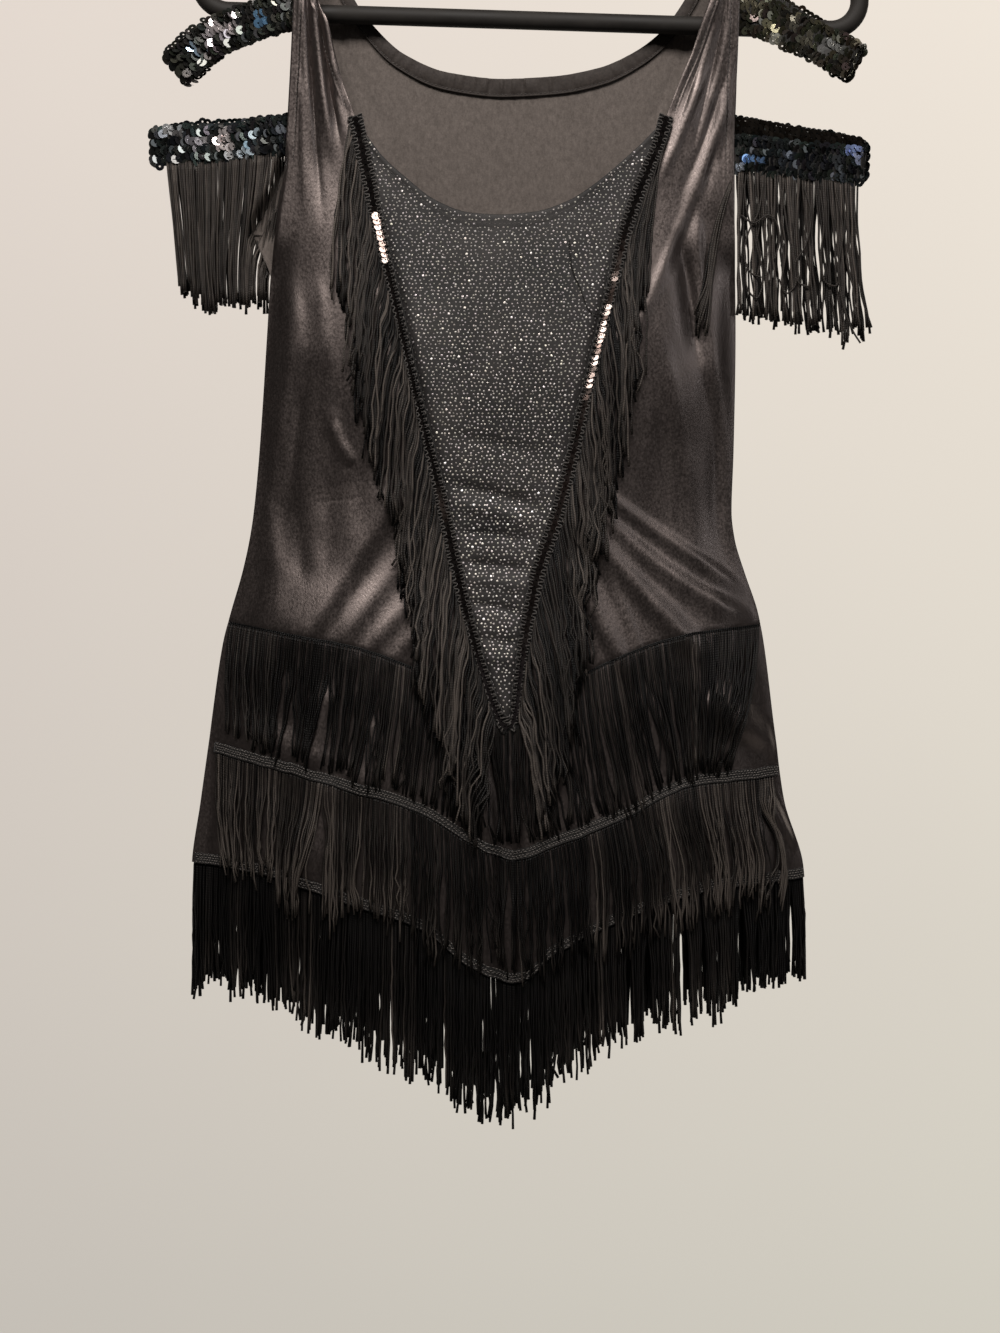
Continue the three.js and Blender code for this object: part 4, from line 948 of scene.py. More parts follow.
for hand in ("left", "right"):
    to_middle = -GAP / 2 if hand == "left" else GAP / 2

    def x_of(u, h, hand=hand, to_middle=to_middle):
        return lerp(fold_edge[hand](h), inner[hand](h) + to_middle, u)

    u = edge_rows(78, 0.06, 0.05)
    top = arm_height(x_of(u, -146.0)) + WRAP
    bottom = np.full(len(u), -600.0)
    for _ in range(14):
        xb = x_of(u, bottom)
        bottom = line["hip"](share(xb, bottom)) - 0.75
    v = np.concatenate([np.linspace(0, 0.03, 7)[:-1], np.linspace(0.03, 0.72, 116)[:-1], np.linspace(0.72, 0.992, 114), [0.995, 0.998, 1.0]])
    h = top[None] + (bottom - top)[None] * v[:, None]
    x = x_of(u[None], h)
    from_out = np.abs(x - fold_edge[hand](h))
    from_in = np.abs(x - x_of(1.0, h))
    above_seam = h - bottom[None]
    armhole = smooth((h + (300 if hand == "left" else 338)) / 14)
    neck_part = smooth((h + 270) / 10)
    rise = hem_rise(from_out, 6.4) * armhole + hem_rise(from_in, 5.2) * neck_part
    seam = -0.42 * np.exp(-(above_seam / 1.3) ** 2) - 0.3 * np.exp(-(from_in / 1.4) ** 2) * (1 - neck_part)
    if hand == "left":
        seam = seam - 1.2 * np.exp(-(from_out / 1.6) ** 2) * (1 - armhole) * smooth((h + 372) / 8)
    outer = surf("front", x, h, CLOTH + rise + seam)
    under = surf("front", x, h, CLOTH - THIN + seam * 0.6)
    ob = shell(f"satin_front_{hand}", outer, under, [SATIN, WRONG])
    place(ob, "satin", f"front_{hand}")

# inset with its hemmed neckline
u = edge_rows(46, 0.03, 0.03)
v = np.concatenate([np.linspace(0, 0.03, 8)[:-1], np.linspace(0.03, 1, 124)])
h = lerp(neckline(u)[None], APEX_Z, v[:, None])
x = lerp(inner["left"](h) + GAP / 2, inner["right"](h) - GAP / 2, u[None])
below_neck = neckline(u)[None] - h
rise = hem_rise(below_neck * 0.93, 6.3, 0.40)
inset = shell("glitter_inset", surf("front", x, h, CLOTH + rise), surf("front", x, h, CLOTH - THIN), [KNIT, WRONG])
place(inset, "glitter_cloth", "front_inset")

# glitter dots: uneven rows of small raised flakes
rng = np.random.default_rng(11)
gx, gz = np.meshgrid(np.arange(-118, 84, 2.72), np.arange(-644, -270, 2.36))
gx = gx + (np.arange(gx.shape[0]) % 2)[:, None] * 1.36
gx = (gx + rng.uniform(-0.80, 0.80, gx.shape)).ravel()
gz = (gz + rng.uniform(-0.65, 0.65, gz.shape)).ravel()
l, r = inner["left"](gz) + 2.2, inner["right"](gz) - 2.2
uu = (gx - inner["left"](gz)) / (inner["right"](gz) - inner["left"](gz))
keep = (gx > l) & (gx < r) & (gz < neckline(np.clip(uu, 0, 1)) - 1.6)
gx, gz, uu = gx[keep], gz[keep], uu[keep]
d_neck = (neckline(np.clip(uu, 0, 1)) - gz) * 0.93
on = np.abs(d_neck - 5.6) > 0.75
gx, gz, uu, d_neck = gx[on], gz[on], uu[on], d_neck[on]
base = surf("front", gx, gz, CLOTH + hem_rise(d_neck, 6.3, 0.40))
away = surf("front", gx, gz, CLOTH + 1.0 + hem_rise(d_neck, 6.3, 0.40)) - base
n = len(gx)
nrm = away + rng.normal(0, 0.16, (n, 3))
along = np.tile([1.0, 0.0, 0.0], (n, 1)) + rng.normal(0, 0.5, (n, 3))
bright = rng.random(n)
# painted glints: a few dots are painted near white and some light, the rest darker; all dots are painted brighter
# towards the bottom of the inset
tone = np.where(bright > 0.975, 0.95, np.where(bright > 0.86, 0.55, 0.20 + 0.24 * bright))
tone = tone * lerp(0.74, 1.60, smooth((-gz - 330) / 260))
tint = np.stack([tone, tone * rng.uniform(0.88, 0.96, n), tone * rng.uniform(0.80, 0.92, n)], 1)
radius = np.where(bright > 0.975, 0.84, 0.60 + 0.16 * rng.random(n))


def flakes(name, centre, normal, along, radius, high, sides, mats, tint):
    """Low pointed flakes: a rim and a peak, closed underneath."""
    n = len(centre)
    normal = normal / np.linalg.norm(normal, axis=1, keepdims=True)
    a = along - (along * normal).sum(1, keepdims=True) * normal
    a /= np.linalg.norm(a, axis=1, keepdims=True)
    b = np.cross(normal, a)
    ang = np.arange(sides) / sides * 2 * math.pi
    rim = centre[:, None] + (a[:, None] * np.cos(ang)[None, :, None] + b[:, None] * np.sin(ang)[None, :, None]) * np.asarray(radius)[:, None, None]
    v = np.concatenate([rim, (centre + normal * high)[:, None]], 1)
    idx = np.arange(sides)
    nx = (idx + 1) % sides
    t = [np.stack([idx, nx, np.full(sides, sides)], 1)]
    for k in range(1, sides - 1):
        t.append(np.array([[0, k + 1, k]]))
    t = np.concatenate(t)
    per = sides + 1
    f = (t[None] + (np.arange(n) * per)[:, None, None]).reshape(-1, 3)
    flat = v.reshape(-1, 3)
    return build(name, flat, facing_out(flat, [(f, 0)]), mats, {"tint": np.repeat(tint, per, axis=0)}, False)


dots = flakes("glitter_dots", base + away * 0.03, nrm, along, radius, 0.20, 5, [GLINT], tint)
place(dots, "glitter_cloth")

# ------------------------------------------------------------------ back
cols = np.concatenate([np.linspace(0, 0.067, 12)[:-1], np.linspace(0.067, 0.945, 76), np.linspace(0.945, 1.0, 11)[1:]])
strap_rows = 12
body_rows = 118
in_strap = (cols <= STRAP_U[0] + 1e-9) | (cols >= STRAP_U[1] - 1e-9)
shoulder = arm_height(across(cols, -146.0)) + WRAP
rows = []
for k in range(strap_rows):
    rows.append(shoulder - 17.0 * (k / strap_rows))
top = np.where(in_strap, shoulder - 17.0, back_neck(cols))
hip = line["hip"](cols) - 0.75
for k in range(body_rows + 1):
    t = k / body_rows
    rows.append(lerp(top, hip, t ** 1.1))
h = np.stack(rows)
x = across(cols[None], h)
mask = np.ones((h.shape[0] - 1, h.shape[1] - 1), bool)
pair = in_strap[:-1] & in_strap[1:]
mask[:strap_rows] = pair[None]
from_side = np.minimum(cols[None] * (edge["right"](h) - edge["left"](h)), (1 - cols[None]) * (edge["right"](h) - edge["left"](h)))
above_arm_end = smooth((h + 352) / 14)
slope = np.gradient(back_neck(cols), across(cols, -220.0))
below = (np.where(in_strap, 200.0, back_neck(cols))[None] - h) / np.sqrt(1 + slope ** 2)[None]
neck_edge = np.where(in_strap[None], 40.0, below)
rise = hem_rise(from_side, 5.6) * above_arm_end - 0.25 * np.exp(-(neck_edge / 0.7) ** 2)
seam = -0.42 * np.exp(-((h - hip[None]) / 1.3) ** 2)
outer = surf("back", x, h, CLOTH + rise + seam)
under = surf("back", x, h, CLOTH - THIN - hem_rise(from_side, 5.6) * above_arm_end * 0.6 + seam * 0.6)
back = shell("satin_back", outer, under, [SATIN, WRONG], mask)
place(back, "satin", "back")

# elastic casing along the back neck, on the wrong side, with small gathers
cc = np.linspace(0.1, 0.92, 220)
wide = lerp(7.5, 11.5, smooth(np.sin(math.pi * np.clip((cc - 0.1) / 0.82, 0, 1))))
slope = (back_neck(cc + 0.004) - back_neck(cc - 0.004)) / (across(cc + 0.004, -220.0) - across(cc - 0.004, -220.0))
long = np.sqrt(1 + slope ** 2)
run = np.concatenate([[0], np.cumsum(np.abs(np.diff(across(cc, -220.0))) * long[1:])])
vv = np.array([0, 0.06, 0.16, 0.3, 0.45, 0.6, 0.74, 0.82, 0.88, 0.95, 1.0])
rng = np.random.default_rng(3)
w = wide[None] * vv[:, None]
hh = back_neck(cc)[None] - w / long[None]
xx = across(cc, back_neck(cc))[None] + w * slope[None] / long[None]
pucker = wander(run, rng, 1.9, 0.30) + wander(run, rng, 4.6, 0.20)
centre_part = np.exp(-((cc - 0.5) / 0.24) ** 2)
body = np.sin(math.pi * np.clip(vv / 0.86, 0, 1))
puff = 0.45 * body[:, None] + pucker[None] * (0.35 + 0.9 * centre_part[None]) * (0.4 + body[:, None])
groove = 0.28 * np.exp(-((vv - 0.86) / 0.05) ** 2)[:, None]
face = surf("back", xx, hh, -(GAP + 0.4 + 0.55) - puff + groove)
rear = surf("back", xx, hh, np.full(xx.shape, -(GAP + 0.25)))
m, nt, b = material("casing_satin", (0.03, 0.026, 0.025), 0.66, spec=0.15, sheen=0.05)
nap = noise(nt, coords(nt, (1, 1, 1)), 700, 3, 0.6)
nt.links.new(ramp(nt, nap, 0.3, 0.75, (0.022, 0.0175, 0.0155), (0.044, 0.0355, 0.0310)), b.inputs["Base Color"])
bump(nt, b, nap, 0.2, 0.00015)
CASING = m
casing = shell("neck_casing", face, rear, [CASING])
place(casing, "satin", "back_neck_casing")

# turned hem of the left armhole, on the wrong side, down to its corner
flap_z = np.linspace(-246.0, -342.5, 90)
flap_x = edge["left"](flap_z)
flap_s = np.gradient(flap_x, flap_z)
flap_l = np.sqrt(1 + flap_s ** 2)
ww = np.array([0.25, 0.6, 1.4, 2.6, 3.8, 4.9, 5.6, 6.0])[:, None]
fx, fz = flap_x[None] + ww / flap_l[None], flap_z[None] - ww * flap_s[None] / flap_l[None]
puffed = 0.12 * np.sin(ww / 6.0 * math.pi) + 0.07 * np.sin(flap_z[None] / 1.3 + 2 * np.sin(flap_z[None] / 9.0))
flap_hem = shell("armhole_hem", surf("back", fx, fz, -0.45 - puffed + 0.25 * np.exp(-(ww - 0.25) / 0.5) + 0.25 * np.exp(-(6.0 - ww) / 0.4)),
                 surf("back", fx, fz, np.full(fx.shape, 0.30)), [WRONG])
place(flap_hem, "satin")

# ------------------------------------------------------------------ skirt
for side in ("front", "back"):
    cols = edge_rows(118, 0.02, 0.02)
    t = np.concatenate([[0, 0.006, 0.014], np.linspace(0.03, 1, 60)])
    hip = line["hip"](cols) + 0.2
    hem = line["tape3"](cols) - TAPE_H
    h = hip[None] + (hem - hip)[None] * t[:, None]
    x = across(cols[None], h)
    seam = -0.35 * np.exp(-((hip[None] - h) / 2.6) ** 2)
    ob = shell(f"satin_skirt_{side}", surf(side, x, h, CLOTH + seam), surf(side, x, h, CLOTH - THIN + seam * 0.9), [SATIN, WRONG])
    place(ob, "satin", f"skirt_{side}")

# ------------------------------------------------------------------ fringe of the skirt
# Partings where the cloth or the room shows between strands:
# x1, z1, x2, z2, half width, stays open to the tips (2 widens towards them)
PARTS = {
    1: [(-150.5, -618, -158, -662, 2.6, 2), (-130, -620, -141, -676, 3.2, 2), (-104, -648, -113, -700, 2.6, 2),
        (-86, -640, -92, -684, 1.4, 0), (-32, -668, -26, -722, 2.0, 0), (-64, -660, -70, -706, 1.3, 0),
        (10, -668, 22, -712, 1.8, 0), (34, -640, 52, -706, 1.5, 0), (66, -634, 84, -688, 1.8, 0),
        (84, -652, 90, -690, 1.3, 2)],
    2: [(-133, -686, -147, -752, 4.4, 2), (-108, -716, -116, -762, 1.6, 0), (-168, -690, -174, -738, 1.4, 0),
        (-20, -742, -22, -806, 2.4, 1), (30, -724, 34, -786, 1.5, 0), (78, -706, 84, -768, 1.6, 0),
        (-60, -726, -62, -790, 1.6, 0), (136, -700, 150, -744, 3.0, 1), (112, -700, 118, -752, 1.2, 0)],
    3: [(54, -772, 55, -850, 2.2, 1), (65, -770, 64, -850, 2.4, 1), (88, -756, 90, -836, 3.4, 1),
        (100, -764, 101, -836, 1.9, 1), (124, -750, 125, -826, 2.8, 1), (134, -760, 135, -826, 1.7, 1),
        (157, -748, 158, -820, 2.2, 1), (-207, -772, -208, -900, 1.3, 1), (-172, -764, -173, -826, 1.8, 1),
        (-138, -792, -139, -900, 1.1, 1), (-96, -806, -97, -900, 1.2, 1), (-60, -822, -60, -900, 1.2, 1),
        (-6, -830, -5, -900, 1.2, 1), (20, -826, 21, -900, 1.3, 1), (108, -776, 109, -900, 1.1, 1),
        (143, -764, 144, -900, 1.1, 1)],
}
# share across, sideways drift of the tips of tiers 1, 2 and 3
LEAN = [(0.0, 10, 16, 2), (0.06, 6, 9, 1), (0.14, 0, 3, 0), (0.25, -4, 0, -1), (0.4, -3, -1, -1), (0.5, 1, 1, 0),
        (0.6, 6, 1, 1), (0.72, 11, 0, 1), (0.80, 7, -1, 1), (0.86, -3, -3, 1), (0.91, -14, -5, 0), (0.96, -25, -11, -1), (1.0, -34, -18, -2)]
lean_of = {k: column(LEAN, 0, k) for k in (1, 2, 3)}


def parted(x0, x, h, parts):
    """Strands are pushed to the side of a parting they started on."""
    for x1, z1, x2, z2, w, opened in parts:
        t = (h - z1) / (z2 - z1)
        mid = lerp(x1, x2, np.clip(t, 0, 1))
        grow = smooth(t / (1.0 if opened == 2 else 0.45)) * (1.0 if opened else smooth((1 - t) / 0.35))
        # which side of the parting the strand is on where it opens
        t1 = np.clip((z1 - h[:, :1]) / (h[:, -1:] - h[:, :1]), 0, 1) * (h.shape[1] - 1)
        i1 = np.clip(t1.astype(int), 0, h.shape[1] - 2)
        at = np.take_along_axis(x, i1, 1) * (1 - (t1 - i1)) + np.take_along_axis(x, i1 + 1, 1) * (t1 - i1)
        hand = np.where(at < x1, -1.0, 1.0)
        d = (x - mid) * hand
        # strands that drift across it are let through gradually
        push = np.where(d > 0, w * np.exp(-np.maximum(d, 0) / (2.3 * w)), (w - 0.8 * d) * smooth((d + 5 * w) / (4 * w)))
        x = x + hand * push * grow
    return x


def clumped(x0, t, rng, small, big, gather=(0.15, 0.62), power=2.4):
    """Strands gather in uneven bunches towards their tips."""
    pos, centres = float(np.min(x0)), []
    while pos < float(np.max(x0)) + 8:
        centres.append(pos)
        pos += rng.uniform(3.0, 9.5)
    centres = np.array(centres)
    which = np.abs(x0[:, None] - centres[None]).argmin(1)
    near = centres[which]
    pull = rng.uniform(*gather, len(centres))[which]
    drift = wander(x0, rng, 26, big) + wander(x0, rng, 7, small)
    return (near - x0)[:, None] * pull[:, None] * t ** power + drift[:, None] * t ** 1.5


def skirt_fringe(name, nodes, side, tier, top, tips, lifts, seed, pitch, u_from, u_to, ragged, group_rag,
                 k_n=14, r=0.70, waves=0.55, gather=(0.15, 0.62), power=2.4, curls=0.05, root_lift=1.0,
                 tone=(0.1, 0.1, 0.1), streaks=0.1):
    rng = np.random.default_rng(seed)
    paths, radii, shades = [], [], []
    for layer, (lift_top, lift_tip) in enumerate(lifts):
        u0 = spaced(u_from, u_to, pitch / 370.0, rng, 0.42)
        u0 = np.clip(u0 + layer * pitch / 740.0, u_from, u_to)
        h0 = top(u0)
        x0 = across(u0, h0)
        n = len(u0)
        group = wander(x0, np.random.default_rng(seed // 10), 12, group_rag)
        end = tips(u0) + group + rng.normal(0, ragged, n) + np.abs(rng.normal(0, ragged * 1.6, n)) * (rng.random(n) > 0.8)
        t = np.concatenate([[0, 0.035], np.linspace(0.09, 1, k_n - 2)])[None]
        h = h0[:, None] + (end - h0)[:, None] * t
        flare = across(u0[:, None], h) - x0[:, None]
        x = x0[:, None] + 0.85 * flare + lean_of[tier](u0)[:, None] * t ** 1.3 * (1 if side == "front" else 0.35)
        x = x + clumped(x0, t, rng, 0.8, 1.3, gather, power)
        phase, size = rng.uniform(0, 6.28, n)[:, None], rng.uniform(14, 34, n)[:, None]
        # a few strands curl over near their tips
        curl = (rng.random(n) < curls)[:, None] * rng.uniform(0.6, 2.2, n)[:, None] * smooth((t - 0.55) / 0.3)
        x = x + waves * rng.uniform(0.2, 1.2, n)[:, None] * np.sin((h0[:, None] - h) / size * 6.28 + phase) * smooth(t * 2.2)
        x = x + curl * np.sin((h0[:, None] - h) / 13.0 * 6.28 + phase)
        x = parted(x0, x, h, PARTS[tier])
        lo, hi = edge["left"](h) + 0.8, edge["right"](h) - 0.8
        x = np.clip(x, lo - 2.2 * t, hi + 2.2 * t)
        lift = lerp(lift_top, lift_tip, smooth(t / 0.6)) + rng.normal(0, 0.22, n)[:, None] * smooth(t * 3)
        lift = lift + 0.35 * np.sin((h0[:, None] - h) / rng.uniform(22, 50, n)[:, None] * 6.28 + phase * 1.7) * smooth(t * 2)
        lift = lerp(root_lift, lift, smooth((h0[:, None] - h) / 34.0))
        # painted light and shade: lit and shaded bunches, from the root through the middle to the tips; regions across
        # the skirt painted lighter or darker, the lower layer of strands darker, and each strand's first few mm black
        # at the seam
        level = lerp(lerp(tone[0], tone[1], smooth(t / 0.45)), tone[2], smooth((t - 0.52) / 0.48))
        patch = wander(x0, np.random.default_rng(seed // 10 + 5), 9, 0.55) + wander(x0, np.random.default_rng(seed // 10 + 6), 24, 0.4)
        off = np.abs(x0 + 24)
        spread = ((1.5 * smooth((off - 60) / 90) + 0.6 * (x0 < -80) - 1.9 * (1 - smooth(off / 80))) if tier == 2
                  else -0.7 * smooth((off - 95) / 60) - 0.6 * (1 - smooth(off / 60)))
        bunch = np.exp(patch + rng.normal(0, 0.75, n) + spread)[:, None]
        level = level * bunch * (0.45 + 0.75 * layer / max(1, len(lifts) - 1)) * (1 + 0.5 * (rng.random(n) > 0.9))[:, None]
        shades.append(np.broadcast_to(level * smooth((h0[:, None] - h + 0.5) / 3.0) + 0 * h, h.shape))
        paths.append(surf(side, x, h, lift))
        rad = r * rng.uniform(0.86, 1.12, n)[:, None] * (1 + 0.16 * smooth((t - 0.95) / 0.05))
        rad = rad * np.where(t < 0.02, 0.8, 1.0)
        radii.append(np.broadcast_to(rad, h.shape))
    parts = [(np.concatenate(paths), np.concatenate(radii), 4, 0, False, np.concatenate(shades))]
    if tier == 1:
        # painted shade: two black cords along the hip seam, a dark part standing for the shadow line under the seam
        ue = np.linspace(u_from - 0.003, u_to + 0.003, 260)
        for drop, high_, thick in ((-0.35, 0.95, 0.55), (-1.1, 1.0, 0.5)):
            he = top(ue) + 1.0 + drop
            parts.append((surf(side, across(ue, he), he, high_)[None], thick, 6, 0, False, 0.0))
    ob = tubes(name, parts, [CORD])
    return place(ob, "fringe_cord", *nodes)


for side in ("front", "back"):
    f = side == "front"
    skirt_fringe(f"fringe_one_{side}", [f"fringe_tier1_{side}"], side, 1,
                 lambda u: line["hip"](u) - 1.0, lambda u: line["tape2"](u) + 3.2,
                 [(1.9, 2.2), (2.3, 3.4)], 110 + f, 1.95 if f else 2.35, 0.006, 0.994, 2.4, 2.2, waves=0.6, r=0.53 if f else 0.60, gather=(0.3, 0.9), power=1.6, root_lift=1.35,
                 tone=(0.17, 0.06, 0.15), k_n=12 if f else 9)
    skirt_fringe(f"fringe_two_{side}", [f"fringe_tier2_{side}"], side, 2,
                 lambda u: line["tape2"](u) - TAPE_H + 0.6, line["tips2"],
                 [(2.2, 3.5), (2.4, 4.6)], 120 + f, 1.80 if f else 2.25, 0.018 if f else 0.01, 0.985 if f else 0.99, 4.5, 6.5, waves=0.7, r=0.52 if f else 0.62,
                 gather=(0.25, 0.85), power=1.7, root_lift=1.6, tone=(0.09, 0.08, 0.36), curls=0.08, k_n=13 if f else 9)
    skirt_fringe(f"fringe_three_{side}", [f"fringe_tier3_{side}"], side, 3,
                 lambda u: line["tape3"](u) - TAPE_H + 0.8, line["tips3"],
                 [(1.0, 1.0), (1.6, 2.4)], 130 + f, 1.58 if f else 1.72, 0.004, 0.996, 3.4, 4.0, waves=0.45, r=0.70 if f else 0.92, gather=(0.1, 0.85),
                 power=4.5, curls=0.08, root_lift=0.6, tone=(0.02, 0.03, 0.10), k_n=12 if f else 8)

# ------------------------------------------------------------------ header tapes
for name in ("tape2", "tape3"):
    tier = name[-1]
    for side in ("front", "back"):
        a, z = (0.014, 0.994) if (side == "front" and tier == "2") else (0.004, 0.996)
        cols = np.linspace(a, z, 200)
        tt = np.array([0, 0.04, 0.2, 0.4, 0.6, 0.8, 0.96, 1.0])
        top_line = line[name](cols)
        rng = np.random.default_rng(int(tier) * 7 + (side == "front"))
        wob = wander(cols * 380, rng, 7, 0.22)
        h = top_line[None] + wob[None] - TAPE_H * tt[:, None]
        x = across(cols[None], h)
        rib = 0.10 * np.cos(tt * 6.28 * 4)[:, None]
        outer = surf(side, x, h, CLOTH + GAP + 0.85 + rib)
        under = surf(side, x, h, CLOTH + GAP)
        parts = []
        step = 1.95
        cc = np.linspace(a + 0.003, z - 0.003, int(385 * (z - a) / step))
        for k, at_ in enumerate((0.13, 0.37, 0.61, 0.85)):
            off = (0.0 if k % 2 else 0.5) * step
            d = np.array([-0.58, 0.0, 0.58])
            xm = across(cc, line[name](cc)) + off + rng.normal(0, 0.12, len(cc))
            hm = line[name](cc) + np.interp(cc, cols, wob) - TAPE_H * at_
            slope_ = np.gradient(line[name](cc), across(cc, line[name](cc)))
            xx = xm[:, None] + d[None]
            hh = hm[:, None] + slope_[:, None] * d[None] + rng.normal(0, 0.07, (len(cc), 1))
            parts.append((surf(side, xx, hh, CLOTH + GAP + 0.92 + 0.10 * np.array([0, 1, 0])[None]),
                          0.29, 4 if side == "front" else 3, 0, False, 0.25 + 0.75 * rng.random((len(cc), 1))))
        ribbon = shell(f"header_{name}_{side}", outer, under, [HEADER])
        place(ribbon, "header_tape", f"tape_tier{tier}_{side}")
        cords = tubes(f"header_{name}_{side}_chains", parts, [CHAIN])
        place(cords, "header_tape")

# ------------------------------------------------------------------ trim of the V seams
def trim_half(hand, h):
    s = (inner[hand](h + 3) - inner[hand](h - 3)) / 6
    return (TRIM_W / 2) * np.hypot(1, s)


def trim_path(hand, n):
    """The middle line of a trim, down its seam and round the point of the V."""
    out = -1 if hand == "left" else 1
    z = np.linspace(TRIM_TOP, -641.0, 300)
    pts = [np.stack([inner[hand](z), z], -1)]
    x0, x1 = float(inner[hand](-641.0)), APEX_X + out * 0.15
    slope = (float(inner[hand](-638.0)) - x0) / 3.0
    t = np.linspace(0, 1, 24)[1:, None]
    corner = np.array([x0 + slope * (-10.5), -651.6])
    pts.append((1 - t) ** 2 * np.array([x0, -641.0]) + 2 * t * (1 - t) * corner + t * t * np.array([x1, -652.0]))
    p = np.concatenate(pts)
    d = np.concatenate([[0], np.cumsum(np.linalg.norm(np.diff(p, axis=0), axis=1))])
    q = np.linspace(0, d[-1], n)
    p = np.stack([np.interp(q, d, p[:, 0]), np.interp(q, d, p[:, 1])], -1)
    g = np.gradient(p, q, axis=0)
    g /= np.linalg.norm(g, axis=1, keepdims=True)
    return q, p, g, np.stack([-g[:, 1] * 1.0, g[:, 0]], -1) * (1 if hand == "left" else -1)


# painted glints: per height, how far the small sequins are painted from dark to copper where the light catches them;
# the same value turns them towards the lamp
TRIM_PAINTED_GLINT = {  # z, brightness of the small sequins
    "left": [(-271, 0.03), (-330, 0.05), (-334, 1.0), (-360, 0.9), (-365, 0.10), (-430, 0.05), (-500, 0.06), (-511, 0.42),
             (-522, 0.34), (-528, 0.08), (-600, 0.08), (-616, 0.26), (-646, 0.24)],
    "right": [(-271, 0.03), (-340, 0.04), (-356, 0.35), (-368, 0.62), (-384, 0.50), (-404, 0.9), (-440, 0.7), (-456, 0.30),
              (-470, 0.22), (-500, 0.32), (-520, 0.26), (-540, 0.18), (-566, 0.14), (-600, 0.24), (-625, 0.30), (-646, 0.26)],
}
for hand in ("left", "right"):
    out = -1 if hand == "left" else 1
    long_, mid_, along_, inward = trim_path(hand, 240)

    def on_trim(q, w, lift, long_=long_, mid_=mid_, inward=inward, out=out):
        """Point at length q along the trim, w mm inwards of its middle line."""
        x = np.interp(q, long_, mid_[:, 0]) + np.interp(q, long_, inward[:, 0]) * w
        z = np.interp(q, long_, mid_[:, 1]) + np.interp(q, long_, inward[:, 1]) * w
        x = np.minimum(x, APEX_X - 0.1) if out < 0 else np.maximum(x, APEX_X + 0.1)
        return surf("front", x, z, lift)

    w = TRIM_W / 2 * np.array([-1, -0.94, -0.8, -0.55, -0.25, 0, 0.25, 0.55, 0.8, 0.94, 1])[:, None]
    q = np.linspace(0, long_[-1], 240)[None]
    rim = 0.32 * np.exp(-((TRIM_W / 2 - np.abs(w)) / 0.35) ** 2)
    weave = 0.07 * np.sin(q * 2.3 + w * 3.0)
    top_ = CLOTH + GAP + 0.85 - rim + weave
    tape = shell(f"v_trim_{hand}", on_trim(q, w, top_), on_trim(q, w, top_ * 0 + CLOTH + GAP + 0.1), [HEADER])
    place(tape, "trim_tape", f"trim_{hand}")
    # two rows of dense zigzag stitching, one along each edge
    rng = np.random.default_rng(41 + out)
    rows = []
    for edge_w, amp, r_ in ((3.25, 1.65, 0.40), (-3.25, 1.65, 0.42)):
        turn = np.arange(0.2, long_[-1] - 0.2, 2.0)
        turn = turn + rng.normal(0, 0.12, len(turn))
        flip = (np.arange(len(turn)) % 2) * 2 - 1
        # every stroke crosses the row almost at right angles, then the thread steps on
        q_ = np.stack([turn - 0.3, turn + 0.3], 1).ravel()
        w_ = edge_w + np.stack([-flip, flip], 1).ravel() * amp * rng.uniform(0.85, 1.08, 2 * len(turn))
        high_ = CLOTH + GAP + 1.75 + 0.15 * rng.random(2 * len(turn))
        mid_q, mid_w = (q_[::2] + q_[1::2]) / 2, (w_[::2] + w_[1::2]) / 2
        q3 = np.stack([q_[::2], mid_q, q_[1::2]], 1).ravel()
        w3 = np.stack([w_[::2], mid_w, w_[1::2]], 1).ravel()
        h3 = np.stack([high_[::2] - 0.45, high_[::2] + 0.12, high_[1::2] - 0.45], 1).ravel()
        rows.append((on_trim(q3, w3, h3)[None], r_, 4, 0, False))
    place(tubes(f"v_zigzag_{hand}", rows, [THREAD]), "trim_tape")
    # string of overlapping sequins between the rows
    rng = np.random.default_rng(31 + out)
    qs = np.arange(3.0, long_[-1] + 0.1, 3.6)
    qs = qs + rng.normal(0, 0.22, len(qs))
    side_w = rng.normal(0, 0.22, len(qs))
    seat = CLOTH + GAP + 1.55
    c0 = on_trim(qs, side_w, seat)
    nn = on_trim(qs, side_w, seat + 1.0) - c0
    down = on_trim(qs + 1.5, side_w, seat) - on_trim(qs - 1.5, side_w, seat)
    down /= np.linalg.norm(down, axis=1, keepdims=True)
    normal = nn + down * rng.normal(0.32, 0.08, (len(qs), 1)) + rng.normal(0, 0.08, (len(qs), 3))
    hz = np.interp(qs, long_, mid_[:, 1])
    glow = np.interp(-hz, [-z_ for z_, _ in TRIM_PAINTED_GLINT[hand]], [g for _, g in TRIM_PAINTED_GLINT[hand]]) * rng.uniform(0.8, 1.1, len(qs))
    low = smooth((-hz - 590) / 30)[:, None]
    warm = rng.random((len(qs), 1))
    copper = lerp(lerp(np.array([0.11, 0.062, 0.046])[None], np.array([0.19, 0.145, 0.125])[None], warm), np.array([0.16, 0.13, 0.14])[None], low)
    dark = np.array([0.016, 0.013, 0.012])[None]
    # painted reflection: only sequins that catch the light are copper, the rest are painted dark
    tint = lerp(dark, copper, np.clip(glow, 0, 1)[:, None] ** 1.2)
